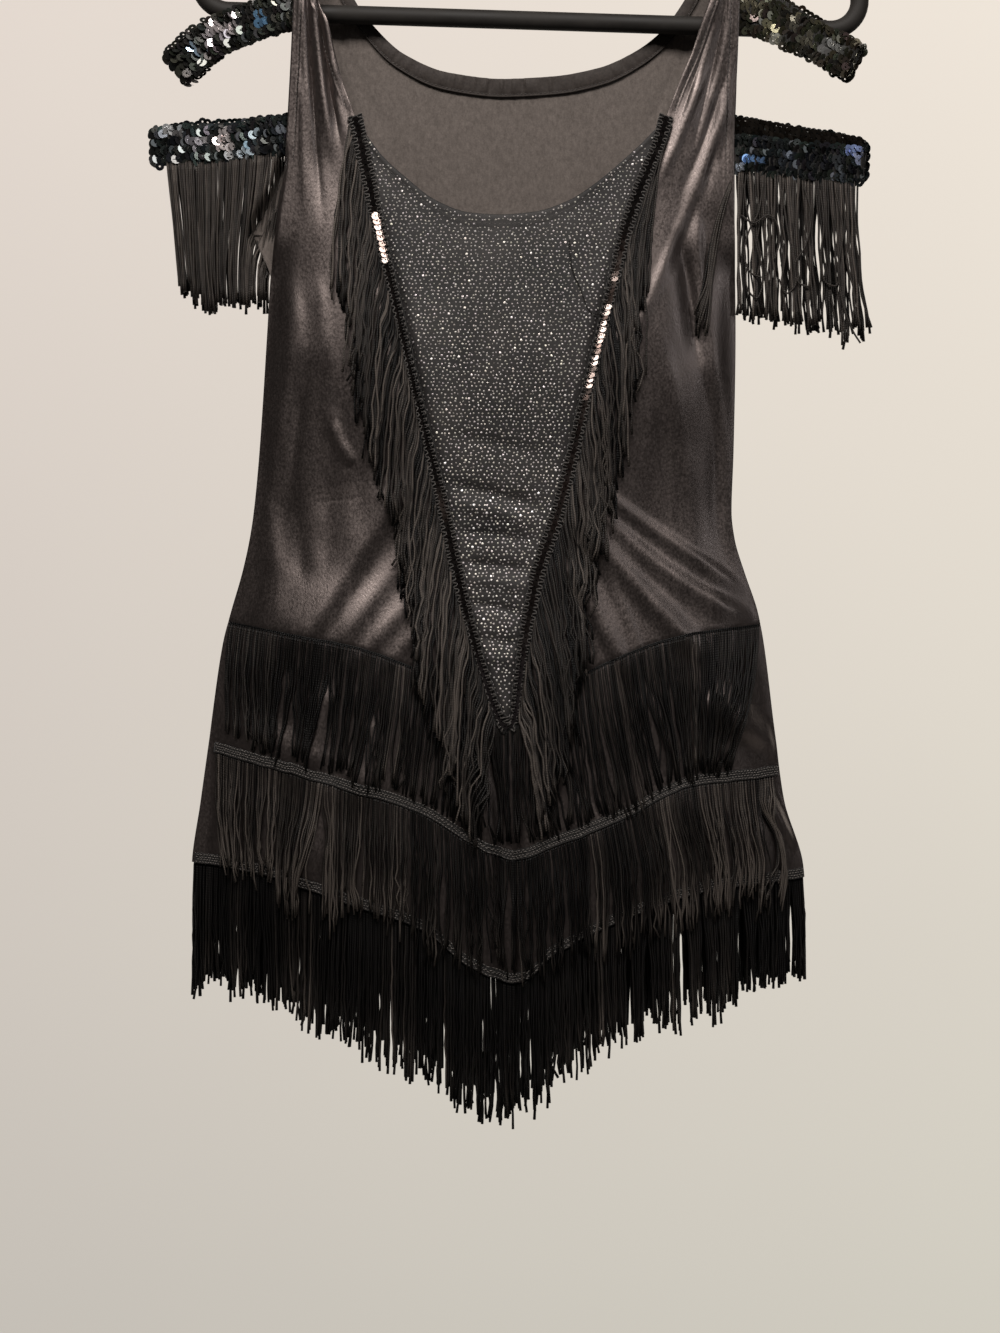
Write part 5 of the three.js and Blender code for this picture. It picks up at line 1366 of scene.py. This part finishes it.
    # the bright ones are turned so that they catch the lamp over the dress
    shine = np.clip(glow, 0, 1)[:, None]
    normal = normal / np.linalg.norm(normal, axis=1, keepdims=True)
    lamp_at, eye = np.array([-100.0, -1180.0, 740.0])[None] - c0, np.array([-24.8, -1300.0, -571.1])[None] - c0
    lamp_at[:, 0] *= 0.3
    catch = lamp_at / np.linalg.norm(lamp_at, axis=1, keepdims=True) + eye / np.linalg.norm(eye, axis=1, keepdims=True)
    catch = catch / np.linalg.norm(catch, axis=1, keepdims=True) + rng.normal(0, 0.035, (len(qs), 3))
    normal = lerp(normal, catch, 0.94 * smooth(shine / 0.75))
    place(discs(f"v_sequins_{hand}", c0, normal, down, 2.45 + 0.12 * rng.normal(size=len(qs)), 0.5, 14, 0.14, 0.0, [SEQUIN], tint), "trim_tape")

# ------------------------------------------------------------------ fringe of the V seams
for hand in ("left", "right"):
    out = -1 if hand == "left" else 1
    rng = np.random.default_rng(51 + out)
    z0 = np.arange(-277.0, -646.5, -1.30)
    z0 = z0 + rng.uniform(-0.5, 0.5, len(z0))
    n = len(z0)
    x0 = inner[hand](z0) + out * (trim_half(hand, z0) - 0.3)
    group = wander(z0, rng, 9, 5.0)
    long = lerp(100.0, 78.0, smooth((-z0 - 600) / 46)) + group + rng.normal(0, 3.0, n)
    k_n = 16
    t = np.linspace(0, 1, k_n)[None]
    end = z0 - long
    # the seam's strands spread between the seam and the outer reach
    xe = lerp(inner[hand](np.maximum(end, APEX_Z)) + out * 4, reach_of[hand](end), rng.uniform(0.86, 1.02, n))
    xe = xe + wander(z0, rng, 14, 2.2) + rng.normal(0, 1.1, n) * (1 + 1.6 * (rng.random(n) > 0.75))
    early = lerp(2.6, 1.25, smooth((-z0 - 277) / 60))[:, None]
    h = z0[:, None] - long[:, None] * t
    x = x0[:, None] + (xe - x0)[:, None] * (1 - (1 - t) ** early)
    # bunches
    bunch = wander(z0, rng, 6, 1.1)[:, None] * np.sin(t * 2.6 + rng.uniform(0, 1, n)[:, None])
    phase, size = rng.uniform(0, 6.28, n)[:, None], rng.uniform(12, 40, n)[:, None]
    curly = (rng.random(n) > 0.86)[:, None]
    amp = rng.uniform(0.2, 0.9, n)[:, None] + curly * rng.uniform(0.8, 2.4, n)[:, None] * smooth((t - 0.35) / 0.4)
    x = x + bunch + amp * np.sin(long[:, None] * t / size * 6.28 + phase) * smooth(t * 2.5)
    h = h + curly * 1.3 * np.cos(long[:, None] * t / size * 6.28 + phase) * smooth((t - 0.6) / 0.2)
    # keep on the outer side of the trim until below the point of the inset
    lim = inner[hand](h) + out * (trim_half(hand, h) - 0.35)
    gap_ = (x - lim) * out
    x = np.where((h > APEX_Z) & (gap_ < 0), lim + out * 0.15, x)
    depth = rng.integers(0, 4, n)[:, None]
    layer = depth * 0.62
    seam_z = line["hip"](share(x, h))
    over = 1 - smooth((h - seam_z - 12) / 44)
    lift = 2.25 + layer * smooth(t * 5) + over * 2.15 + 0.3 * np.sin(t * 9 + phase)
    lift = lift + 0.5 * smooth(t * 6)
    # painted shade: strands lower in the layers are darker, all darken towards their tips and at the root, and the
    # right side's strands are darker
    tone = np.array([0.01, 0.05, 0.22, 0.66])[depth] * np.exp(rng.normal(0, 0.6, n) + wander(z0, rng, 10, 0.25))[:, None]
    tone = tone * (1.0 if hand == "left" else 0.74)
    tone = tone * lerp(1.0, 0.75, t) * (0.55 + 0.45 * smooth(t * 10))
    paths = surf("front", x, h, lift)
    rad = 0.66 * rng.uniform(0.88, 1.12, n)[:, None] * (1 + 0.15 * smooth((t - 0.95) / 0.05))
    ob = tubes(f"v_cords_{hand}", [(paths, np.broadcast_to(rad, h.shape), 5, 0, False, np.broadcast_to(tone, h.shape))], [CORD])
    place(ob, "fringe_cord", f"v_fringe_{hand}")

# ------------------------------------------------------------------ arm bands
class Loop:
    """The loop of one band: front strip outwards, the round end, back strip inwards."""

    def __init__(self, high, reach, run):
        self.high, self.reach = high, reach
        front, back = column(run, 0, 1), column(run, 0, 2)
        self.front, self.back = front, back
        a, b = run[0][0], run[-1][0]
        self.out = 1 if b > a else -1
        o = self.out

        def slope(f, x):
            return (f(x) - f(x - o * 6)) / 6.0
        pts = []
        for i in range(40):
            x = lerp(a, b, i / 39)
            pts.append((x, -reach, float(front(x)), float(slope(front, x)), 0, -1))
        s_end = float(slope(front, b))
        long = math.hypot(1, s_end)
        for i in range(1, 14):
            t = i / 14 * math.pi
            pts.append((b + o * reach * math.sin(t) / long, -reach * math.cos(t),
                        lerp(float(front(b)), float(back(b)), i / 14) + reach * math.sin(t) * s_end / long,
                        s_end, math.sin(t), -math.cos(t)))
        for i in range(40):
            x = lerp(b, a, i / 39)
            pts.append((x, reach, float(back(x)), float(slope(back, x)), 0, 1))
        self.p = np.array(pts)
        seg = np.linalg.norm(np.diff(self.p[:, :3], axis=0), axis=1)
        self.s = np.concatenate([[0], np.cumsum(seg)])
        self.length = float(self.s[-1])

    def frame_at(self, s):
        q = np.stack([np.interp(s, self.s, self.p[:, k]) for k in range(6)], -1)
        sl = q[..., 3]
        long = np.hypot(1, sl)
        along = np.stack([self.out / long, np.zeros_like(sl), sl / long], -1)
        up = np.stack([-self.out * sl / long, np.zeros_like(sl), 1 / long], -1)
        up = up * np.where(up[..., 2:3] < 0, -1, 1)
        normal = along * q[..., 4:5] + np.stack([np.zeros_like(sl), q[..., 5], np.zeros_like(sl)], -1)
        normal /= np.linalg.norm(normal, axis=-1, keepdims=True)
        travel = np.cross(up, normal)
        return q[..., :3], travel, up, normal


# Painted glints and reflections: sequins painted in light colours (a few dark) where the light catches them:
# strip position from the strap (0) to the outer end (1) on the front, height (-1 lower edge, 1 upper edge), reach,
# colour
BAND_PAINTED_GLINT = {
    "upper_left": [(0.30, -0.1, 0.05, (0.25, 0.50, 0.80)), (0.56, 0.05, 0.055, (0.80, 0.72, 0.72)), (0.66, 0.35, 0.05, (0.78, 0.70, 0.70)),
                   (0.50, 0.55, 0.04, (0.72, 0.66, 0.68)), (0.74, 0.0, 0.045, (0.66, 0.60, 0.62)), (0.88, 0.1, 0.04, (0.55, 0.72, 0.90)),
                   (0.60, -0.35, 0.035, (0.60, 0.55, 0.58)), (0.08, 0.5, 0.03, (0.5, 0.5, 0.5))],
    "upper_right": [(0.34, -0.35, 0.05, (0.40, 0.37, 0.24)), (0.42, -0.75, 0.04, (0.75, 0.74, 0.64)), (0.22, 0.3, 0.05, (0.30, 0.27, 0.19)),
                    (0.52, 0.4, 0.04, (0.30, 0.28, 0.22)), (0.83, -0.05, 0.05, (0.62, 0.62, 0.60)), (0.90, 0.35, 0.035, (0.45, 0.45, 0.42)),
                    (0.12, 0.5, 0.05, (0.32, 0.29, 0.20)), (0.66, 0.0, 0.05, (0.24, 0.22, 0.17))],
    "lower_left": [(0.90, 0.85, 0.035, (0.92, 0.92, 0.92)), (0.84, 0.6, 0.03, (0.60, 0.58, 0.58)), (0.56, 0.05, 0.045, (0.86, 0.76, 0.73)),
                   (0.50, -0.1, 0.04, (0.80, 0.72, 0.70)), (0.52, 0.35, 0.04, (0.82, 0.74, 0.72)), (0.68, 0.2, 0.04, (0.60, 0.57, 0.58)),
                   (0.74, 0.1, 0.035, (0.52, 0.50, 0.54)), (0.50, -0.72, 0.03, (0.85, 0.85, 0.85)), (0.36, -0.45, 0.03, (0.55, 0.78, 0.95)),
                   (0.38, -0.75, 0.03, (0.78, 0.86, 0.92)), (0.09, 0.25, 0.03, (0.55, 0.60, 0.68)), (0.3, 0.1, 0.04, (0.16, 0.20, 0.22))],
    "lower_right": [(0.17, -0.35, 0.03, (0.30, 0.52, 0.92)), (0.25, -0.35, 0.03, (0.34, 0.56, 0.95)), (0.06, -0.25, 0.035, (0.48, 0.40, 0.40)),
                    (0.10, -0.75, 0.03, (0.46, 0.50, 0.56)), (0.94, 0.8, 0.045, (0.38, 0.48, 0.85)), (0.99, 0.5, 0.03, (0.5, 0.55, 0.75)),
                    (0.85, 0.05, 0.04, (0.10, 0.11, 0.12)), (0.45, -0.1, 0.06, (0.07, 0.08, 0.10))],
}
m, nt, b = material("stretch_band", (0.012, 0.011, 0.010), 0.8, spec=0.25, sheen=0.1)
ribs = node(nt, "ShaderNodeTexWave", {"Scale": 260.0, "Distortion": 0.6, "Detail": 1.0}, bands_direction="X")
nt.links.new(coords(nt, (1, 1, 1)), ribs.inputs["Vector"])
nt.links.new(ramp(nt, ribs.outputs["Fac"], 0.2, 0.8, (0.006, 0.0055, 0.005), (0.022, 0.020, 0.018)), b.inputs["Base Color"])
bump(nt, b, ribs.outputs["Fac"], 0.5, 0.0003)
STRETCH = m

loops = {}
for key, (high, reach, run) in BANDS.items():
    lp = Loop(high, reach, run)
    loops[key] = lp
    rng = np.random.default_rng(sum(map(ord, key)))
    # elastic strip
    ss = np.linspace(0, lp.length, 110)
    vv = np.linspace(-1, 1, 9)
    p, tr, up, no = lp.frame_at(ss)
    wavy = 0.12 * np.sin(ss / 2.1)[None]
    base = p[None] + up[None] * (vv[:, None, None] * (high / 2 - 1.0))
    outer = base + no[None] * (0.75 + wavy)[..., None]
    under = base + no[None] * 0.1
    place(shell(f"band_{key}", outer, under, [STRETCH]), "sequins", f"arm_band_{key}")
    # sequins: four rows that overlap like scales, and rolled rows along both edges
    cs, ns, als, rad, tn = [], [], [], [], []
    strip = lp.s[39]
    cool = np.array([0.030, 0.033, 0.034]) if "lower" in key else np.array([0.034, 0.034, 0.030])
    if key == "upper_right":
        cool = np.array([0.075, 0.068, 0.048])
    rows_ = [(-0.70, 0), (-0.25, 0), (0.22, 0), (0.68, 0), (-0.94, -1), (0.94, 1)]
    for row, (v_, rolled) in enumerate(rows_):
        pitch = 2.9 if not rolled else 3.3
        s_ = np.arange(1.0 + (row % 2) * pitch / 2, lp.length - 1.0, pitch)
        s_ = s_ + rng.normal(0, 0.28, len(s_))
        vr = v_ + rng.normal(0, 0.05, len(s_)) + 0.03 * np.sin(s_ / 9)
        p, tr, up, no = lp.frame_at(s_)
        n = len(s_)
        hi = rng.uniform(0.9, 1.9, n) if not rolled else rng.uniform(0.5, 1.2, n)
        c = p + up * (vr * high / 2)[:, None] + no * hi[:, None]
        if rolled:
            nn = no * rng.normal(0.85, 0.15, n)[:, None] + up * rolled * rng.normal(0.45, 0.2, n)[:, None] + tr * rng.normal(0.32, 0.2, n)[:, None]
            c = c + up * rolled * 0.1
            rad.append(rng.uniform(2.5, 2.9, n))
        else:
            tilt = np.tan(np.radians(rng.normal(30, 11, n)))
            nn = no + tr * tilt[:, None] + up * rng.normal(0.0, 0.26, n)[:, None]
            rad.append(rng.uniform(2.85, 3.15, n))
        cs.append(c); ns.append(nn); als.append(tr)
        f = np.clip(s_ / strip, 0, 1.08)
        base_t = cool[None] * rng.uniform(0.5, 1.6, (n, 1)) * rng.uniform(0.85, 1.15, (n, 3))
        on_front = s_ < strip + 6
        # painted glints: the listed sequins take a light colour
        for fs, fv, fr, col in BAND_PAINTED_GLINT[key]:
            d = np.hypot((f - fs) * strip, (vr - fv) * high / 2) / (fr * strip + 0.8)
            hit = on_front & (d < 1.0)
            base_t = np.where(hit[:, None], lerp(base_t, np.array(col)[None], 0.55 + 0.45 * rng.random((n, 1))), base_t)
        if rolled and "lower" in key:
            base_t = base_t + np.array([0.004, 0.014, 0.012])[None] * rng.random((n, 1))
        tn.append(base_t)
    if key == "lower_right":
        # the far strip stands higher, so its wrong side shows over the near one
        for v_ in (0.30, 0.62, 0.88):
            s_ = np.arange(strip + 10, lp.length - 2.0, 3.3)
            s_ = s_ + rng.normal(0, 0.3, len(s_))
            p, tr, up, no = lp.frame_at(s_)
            n = len(s_)
            cs.append(p + up * (v_ * high / 2) - no * rng.uniform(0.4, 0.9, n)[:, None])
            ns.append(-no + tr * rng.normal(0.35, 0.15, n)[:, None] - up * rng.normal(0.40, 0.14, n)[:, None])
            als.append(tr)
            rad.append(rng.uniform(2.6, 3.0, n))
            tn.append(np.array([0.030, 0.024, 0.019])[None] * rng.uniform(0.5, 1.5, (n, 1)))
    place(discs(f"band_{key}_sequins", np.concatenate(cs), np.concatenate(ns), np.concatenate(als), np.concatenate(rad),
                0.62, 11, 0.14, 0.0, [SEQUIN], np.concatenate(tn)), "sequins")

# ------------------------------------------------------------------ fringe of the lower arm bands
# Curled strands of the right band: points as x, z, and how far in front of the band
CURLS = {
    "right": [
        [(128, -312, 1), (130, -330, 2), (136, -352, 2.4), (140, -372, 2.2), (136, -384, 2.0), (130, -378, 2.4), (129, -366, 2.6)],
        [(152, -316, 1), (155, -340, 2.4), (159, -362, 2.6), (160, -376, 2.2), (154, -381, 2), (150, -372, 2.4)],
        [(176, -316, 1), (178, -338, 2.2), (176, -358, 2.6), (179, -374, 2.4), (186, -376, 2), (188, -366, 2.2)],
        [(126, -332, 2.4), (134, -337, 2.8), (143, -332, 2.8), (148, -336, 2.4), (150, -348, 2.2), (147, -360, 2)],
        [(140, -312, 1), (137, -330, 2.2), (131, -342, 2.6), (128, -356, 2.6), (132, -368, 2.2), (139, -371, 2)],
        [(166, -314, 1), (170, -332, 2.4), (166, -352, 2.8), (160, -362, 2.6), (162, -374, 2.2), (169, -377, 2)],
        [(186, -318, 1), (190, -342, 2.2), (187, -364, 2.4), (190, -388, 2.2), (196, -404, 1.8), (201, -412, 1.6)],
    ],
    "left": [],
}


def through(points, n):
    """A smooth line through a few points, with n points along it."""
    p = np.array(points, float)
    t = np.concatenate([[0], np.cumsum(np.sqrt(np.linalg.norm(np.diff(p, axis=0), axis=1)))])
    q = np.linspace(0, t[-1], n)
    mdl = np.gradient(p, t, axis=0)
    i = np.clip(np.searchsorted(t, q, side="right") - 1, 0, len(t) - 2)
    hstep = (t[i + 1] - t[i])[:, None]
    f = ((q - t[i]) / (t[i + 1] - t[i]))[:, None]
    return ((1 + 2 * f) * (1 - f) ** 2 * p[i] + f * (1 - f) ** 2 * hstep * mdl[i]
            + f * f * (3 - 2 * f) * p[i + 1] + f * f * (f - 1) * hstep * mdl[i + 1])


for hand in ("left", "right"):
    lp = loops[f"lower_{hand}"]
    edges, tips_ = BAND_FRINGE[hand]
    x_from, x_to, tip = column(edges, 0, 1), column(edges, 0, 2), column(tips_, 0, 1)
    for side in ("front", "back"):
        out = -1.0 if side == "front" else 1.0
        rng = np.random.default_rng(71 + (hand == "left") * 2 + (side == "front"))
        u0 = spaced(0.0, 1.0, (1.05 if hand == "left" else 1.10) / 74.0, rng, 0.45)
        n = len(u0)
        start = lerp(x_from(-290.0), x_to(-290.0), u0)
        strip_z = (lp.front if side == "front" else lp.back)(start)
        h0 = strip_z - lp.high / 2 + 1.6
        long_t = np.linspace(0, 1, 15)[None]
        end = tip(u0) + rng.normal(0, 2.4, n) + wander(start, rng, 6, 2.0)
        h = h0[:, None] + (end - h0)[:, None] * long_t
        if hand == "left":
            x = lerp(x_from(h), lerp(-159.6, -172.0, smooth((-h - 286) / 90)), u0[:, None])
        else:
            x = lerp(x_from(h), x_to(h), u0[:, None])
        if hand == "left":
            x = x + clumped(start, long_t, rng, 0.10, 0.0, (0.0, 0.36), 1.1)
            x = x + (0.15 + 0.40 * rng.random(n))[:, None] * np.sin((h0[:, None] - h) / rng.uniform(9, 17, n)[:, None] + rng.uniform(0, 6, n)[:, None]) * smooth(long_t * 2)
        else:
            # bunches that swing apart and meet again, with gaps where the room shows
            cen = (np.array([127.0, 133.5, 142.5, 149.0, 158.0, 168.5, 176.0, 184.0, 193.5, 200.0]) if side == "front"
                   else np.array([129.5, 138.0, 146.5, 154.0, 163.5, 171.0, 180.5, 189.0, 197.5]))
            which = np.abs(start[:, None] - cen[None]).argmin(1)
            which = np.clip(which + (rng.random(n) > 0.86) * rng.integers(-1, 2, n), 0, len(cen) - 1)
            pull = rng.uniform(0.25, 0.75, n)
            sway = rng.normal(0, 1.6, len(cen))[which]
            x = x + ((cen[which] - start) * pull)[:, None] * np.sin(long_t * rng.uniform(1.5, 2.3, n)[:, None]) ** 1.2
            x = x + sway[:, None] * np.sin(long_t * 3.1) + rng.normal(0, 1.5, n)[:, None] * long_t ** 2
            x = x + (0.5 + 1.0 * (rng.random(n) > 0.8))[:, None] * np.sin((h0[:, None] - h) / rng.uniform(4, 9, n)[:, None]
                                                                         + rng.uniform(0, 6, n)[:, None]) * smooth(long_t * 2)
            x = np.maximum(x, 124.6)
        deep = rng.uniform(0.3, 1.7, n)[:, None] * smooth(long_t * 3) + 0.5
        y = out * (lp.reach + deep + 0.3 * np.sin(long_t * 7 + rng.uniform(0, 6, n)[:, None]))
        if hand == "left":
            behind = smooth((x - edge["left"](h) + 3.4) / 2.6) * smooth((-280 - h) / 12)
            y = y + ((5.4 if side == "back" else 13.6) - deep * (side == "front")) * behind
        paths = np.stack([x, np.broadcast_to(y, x.shape), h], -1)
        # painted shade: the back strands are darker than the front ones, and all darken towards their tips
        tone = (0.42 if side == "front" else 0.12) * np.exp(rng.normal(0, 0.5, n))[:, None] * lerp(1.1, 0.8, long_t)
        rad = 0.66 * rng.uniform(0.9, 1.1, n)[:, None] * (1 + 0.35 * smooth((long_t - 0.965) / 0.035))
        parts = [(paths, np.broadcast_to(rad, h.shape), 4, 0, False, np.broadcast_to(tone, h.shape))]
        if side == "front":
            for curl in CURLS[hand]:
                line3 = through([(cx, -(lp.reach + 0.6 + 1.35 * cy), cz) for cx, cz, cy in curl], 36)
                parts.append((line3[None], 0.62, 5, 0, False, 0.35))
            if hand == "right":
                # a few strands that have swung over the bodice
                for k in range(17):
                    off = (k / 16 - 0.5) * 6.4 + rng.normal(0, 0.4)
                    xs = np.array([118.9, 114.0 + 0.5 * off, 108.6 + 0.75 * off, 104.0 + 0.85 * off, 101.0 + 1.15 * off])
                    zs = np.array([-313.0 - 0.5 * off, -327.0, -352.0, -378.0, -401.0 + rng.normal(0, 3.6)])
                    tt = np.linspace(0, 1, 16)
                    five = through(np.stack([xs, 0 * xs, zs], -1), 18)
                    px, pz = five[:, 0] + 0.3 * np.sin(np.linspace(0, 7, 18) + k), five[:, 2]
                    pl = 2.0 + 0.62 * (k * 7 % 4) + 0 * px
                    # painted light and shade: strands standing further out are lighter, lower ones darker
                    parts.append((surf("front", px, pz, pl)[None], 0.62, 5, 0, False, 0.10 + 0.14 * (k * 7 % 4)))
        ob = tubes(f"band_cords_{hand}_{side}", parts, [CORD])
        place(ob, "fringe_cord", f"band_fringe_{hand}_{side}")

# ------------------------------------------------------------------ hanger, one moulding
def hanger_loop():
    pts = []
    for q in np.linspace(-END_X, END_X, 30):
        pts.append((q, -BAR_DROP))
    for a in np.linspace(-math.pi / 2, math.pi / 2 - ARM_SLOPE, 20)[1:]:
        pts.append((END_X + END_R * math.cos(a), -BAR_DROP + END_R + END_R * math.sin(a)))
    apex = 12.0
    for q in np.linspace(BEND_END[0], apex, 26)[1:]:
        pts.append((q, NECK_Z - q * math.tan(ARM_SLOPE)))
    for q in np.linspace(apex, -apex, 9)[1:-1]:
        pts.append((q, NECK_Z - math.tan(ARM_SLOPE) * (apex / 2 + q * q / (2 * apex))))
    for q in np.linspace(-apex, -BEND_END[0], 26):
        pts.append((q, NECK_Z + q * math.tan(ARM_SLOPE)))
    for a in np.linspace(math.pi / 2 + ARM_SLOPE, 3 * math.pi / 2, 20)[1:-1]:
        pts.append((-END_X + END_R * math.cos(a), -BAR_DROP + END_R + END_R * math.sin(a)))
    return np.array([(tilted(px, pz)[0], 0.0, tilted(px, pz)[1]) for px, pz in pts])


def turned(profile, sides=32):
    """A turned body on the hanger's own upright axis; profile is (radius, height)."""
    ang = np.arange(sides) / sides * 2 * math.pi
    rings = []
    for rr, zz in profile:
        px = rr * np.cos(ang)
        cx, cz = px * math.cos(TILT) + zz * math.sin(TILT), -px * math.sin(TILT) + zz * math.cos(TILT)
        rings.append(np.stack([cx, rr * np.sin(ang), cz], -1))
    v = np.stack(rings)
    idx = np.arange(len(profile) * sides).reshape(len(profile), sides)
    nx = np.roll(idx, -1, 1)
    q = np.stack([idx[:-1], nx[:-1], nx[1:], idx[1:]], -1).reshape(-1, 4)
    caps = [np.array([idx[0][::-1]]), np.array([idx[-1]])]
    return v.reshape(-1, 3), q, caps


v1, q1, _, st1 = tube_arrays(hanger_loop()[None], TUBE_R, 28, True)
stem = NECK_Z + 13
prof = [(6.2, NECK_Z - 9.6), (7.6, NECK_Z - 9.0), (8.0, NECK_Z - 7.6), (8.0, NECK_Z + 8), (7.9, NECK_Z + 10), (7.2, NECK_Z + 12.4),
        (6.0, NECK_Z + 14.6), (4.9, NECK_Z + 17.2), (4.2, NECK_Z + 20.5), (3.9, NECK_Z + 23.0)]
v2, q2, caps2 = turned(prof)
hook_pts = [(0, stem + 6), (0, stem + 12), (1.5, -HOOK_R - (HOOK_R + HOOK_TUBE_R) - 9)]
for k in range(10):
    a = lerp(math.radians(-50), math.radians(200), k / 9)
    hook_pts.append(((HOOK_R + HOOK_TUBE_R) * math.cos(a), -HOOK_R + (HOOK_R + HOOK_TUBE_R) * math.sin(a)))
hook_line = through([(tilted(px, pz)[0], 0.0, tilted(px, pz)[1]) for px, pz in hook_pts], 110)
rad = np.full(110, HOOK_TUBE_R)
rad[-8:] = HOOK_TUBE_R * np.sqrt(np.clip(1 - (np.linspace(0, 0.985, 8)) ** 2, 0, 1))
v3, q3, t3, st3 = tube_arrays(hook_line[None], rad[None], 20, False)
verts, groups, base = [], [], 0
for v_, parts in ((v1, [(q1, 0)]), (v2, [(q2, 0)] + [(c, 0) for c in caps2]), (v3, [(q3, 0), (t3, 0)])):
    fixed = facing_out(v_, parts)
    groups += [(np.asarray(f) + base, s_) for f, s_ in fixed]
    verts.append(v_)
    base += len(v_)
hanger = build("hanger", np.concatenate(verts), groups, [PLASTIC])
place(hanger, "hanger_plastic", "hanger_bar", "hanger_end_left", "hanger_end_right", "hanger_arm_left", "hanger_arm_right",
      "hanger_neck", "hanger_hook")


# ------------------------------------------------------------------ stitches and loose threads
def dashes(side, xs, hs, lift, long=2.1, skip=0.9, r=0.21):
    """Separate stitches along a line on a panel."""
    p = surf(side, xs, hs, lift)
    d = np.concatenate([[0], np.cumsum(np.linalg.norm(np.diff(p, axis=0), axis=1))])
    starts = np.arange(0.4, d[-1] - long, long + skip)
    out = []
    for s0 in starts:
        q = np.linspace(s0, s0 + long, 4)
        out.append(np.stack([np.interp(q, d, p[:, k]) for k in range(3)], -1))
    return (np.array(out), np.array([[0.3, 1, 1, 0.3]]) * r, 4, 0, False)


rows = []
for hand in ("left", "right"):
    o = 1 if hand == "left" else -1
    hs = np.linspace(-168, -300 if hand == "left" else -330, 160)
    rows.append(dashes("front", fold_edge[hand](hs) + o * 5.5, hs, CLOTH + 0.20))
    hs = np.linspace(-172, -268, 120)
    rows.append(dashes("front", inner[hand](hs) - o * 4.3, hs, CLOTH + 0.20))
uu = np.linspace(0.06, 0.94, 200)
rows.append(dashes("front", lerp(inner["left"](neckline(uu) - 6), inner["right"](neckline(uu) - 6), uu), neckline(uu) - 6.0, CLOTH + 0.2))
place(tubes("hem_stitches_front", rows, [THREAD]), "satin")
rows = []
hs = np.linspace(-176, -340, 180)
rows.append(dashes("back", edge["left"](hs) + 4.9, hs, CLOTH + 0.2))
rows.append(dashes("back", edge["right"](hs) - 4.9, hs, CLOTH + 0.2))
cs_ = np.linspace(0.12, 0.9, 260)
rows.append(dashes("back", across(cs_, back_neck(cs_)), back_neck(cs_) - 10.0, CLOTH + 0.12))
place(tubes("hem_stitches_back", rows, [THREAD]), "satin")
w = lerp(7.5, 11.5, smooth(np.sin(math.pi * np.clip((cs_ - 0.1) / 0.82, 0, 1)))) * 0.86
sl = (back_neck(cs_ + 0.004) - back_neck(cs_ - 0.004)) / (across(cs_ + 0.004, -220.0) - across(cs_ - 0.004, -220.0))
lg = np.sqrt(1 + sl ** 2)
place(tubes("casing_stitches", [dashes("back", across(cs_, back_neck(cs_)) + w * sl / lg, back_neck(cs_) - w / lg,
                                       -(GAP + 0.4 + 0.75), 1.7, 0.8, 0.17)], [THREAD]), "satin")
fl = np.linspace(-262, -341, 90)
rows = []
for away_ in (1.2, 4.9):
    rows.append(dashes("back", np.interp(fl, flap_z[::-1], (flap_x + away_ / flap_l)[::-1]),
                       fl - np.interp(fl, flap_z[::-1], (away_ * flap_s / flap_l)[::-1]), -0.68, 1.7, 0.8, 0.20))
place(tubes("flap_stitches", rows, [THREAD]), "satin")

loose = [[(18.1, -350.0), (18.6, -358), (19.3, -365.0), (21.2, -372), (24.3, -378.6), (26.6, -385), (29.2, -391.6), (31.8, -395.2), (34.8, -396.0), (38.6, -391), (41.6, -383.6)]]
parts = []
for pts in loose:
    a = through([(px, 0, pz) for px, pz in pts], 60)
    parts.append((surf("front", a[:, 0], a[:, 2], CLOTH + 0.75 + 0.3 * np.sin(np.linspace(0, 9, 60)))[None], 0.34, 5, 0, False, 0.1))
place(tubes("loose_thread", parts, [CORD]), "fringe_cord")


for hand, flat, area in (("left", (0.175, 0.525), 0.0378), ("right", (0.162, 0.525), 0.0373)):
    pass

size = {"cad": [list(map(float, c)) for c in CAD_BOX], "visual": [list(map(float, c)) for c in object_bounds()]}
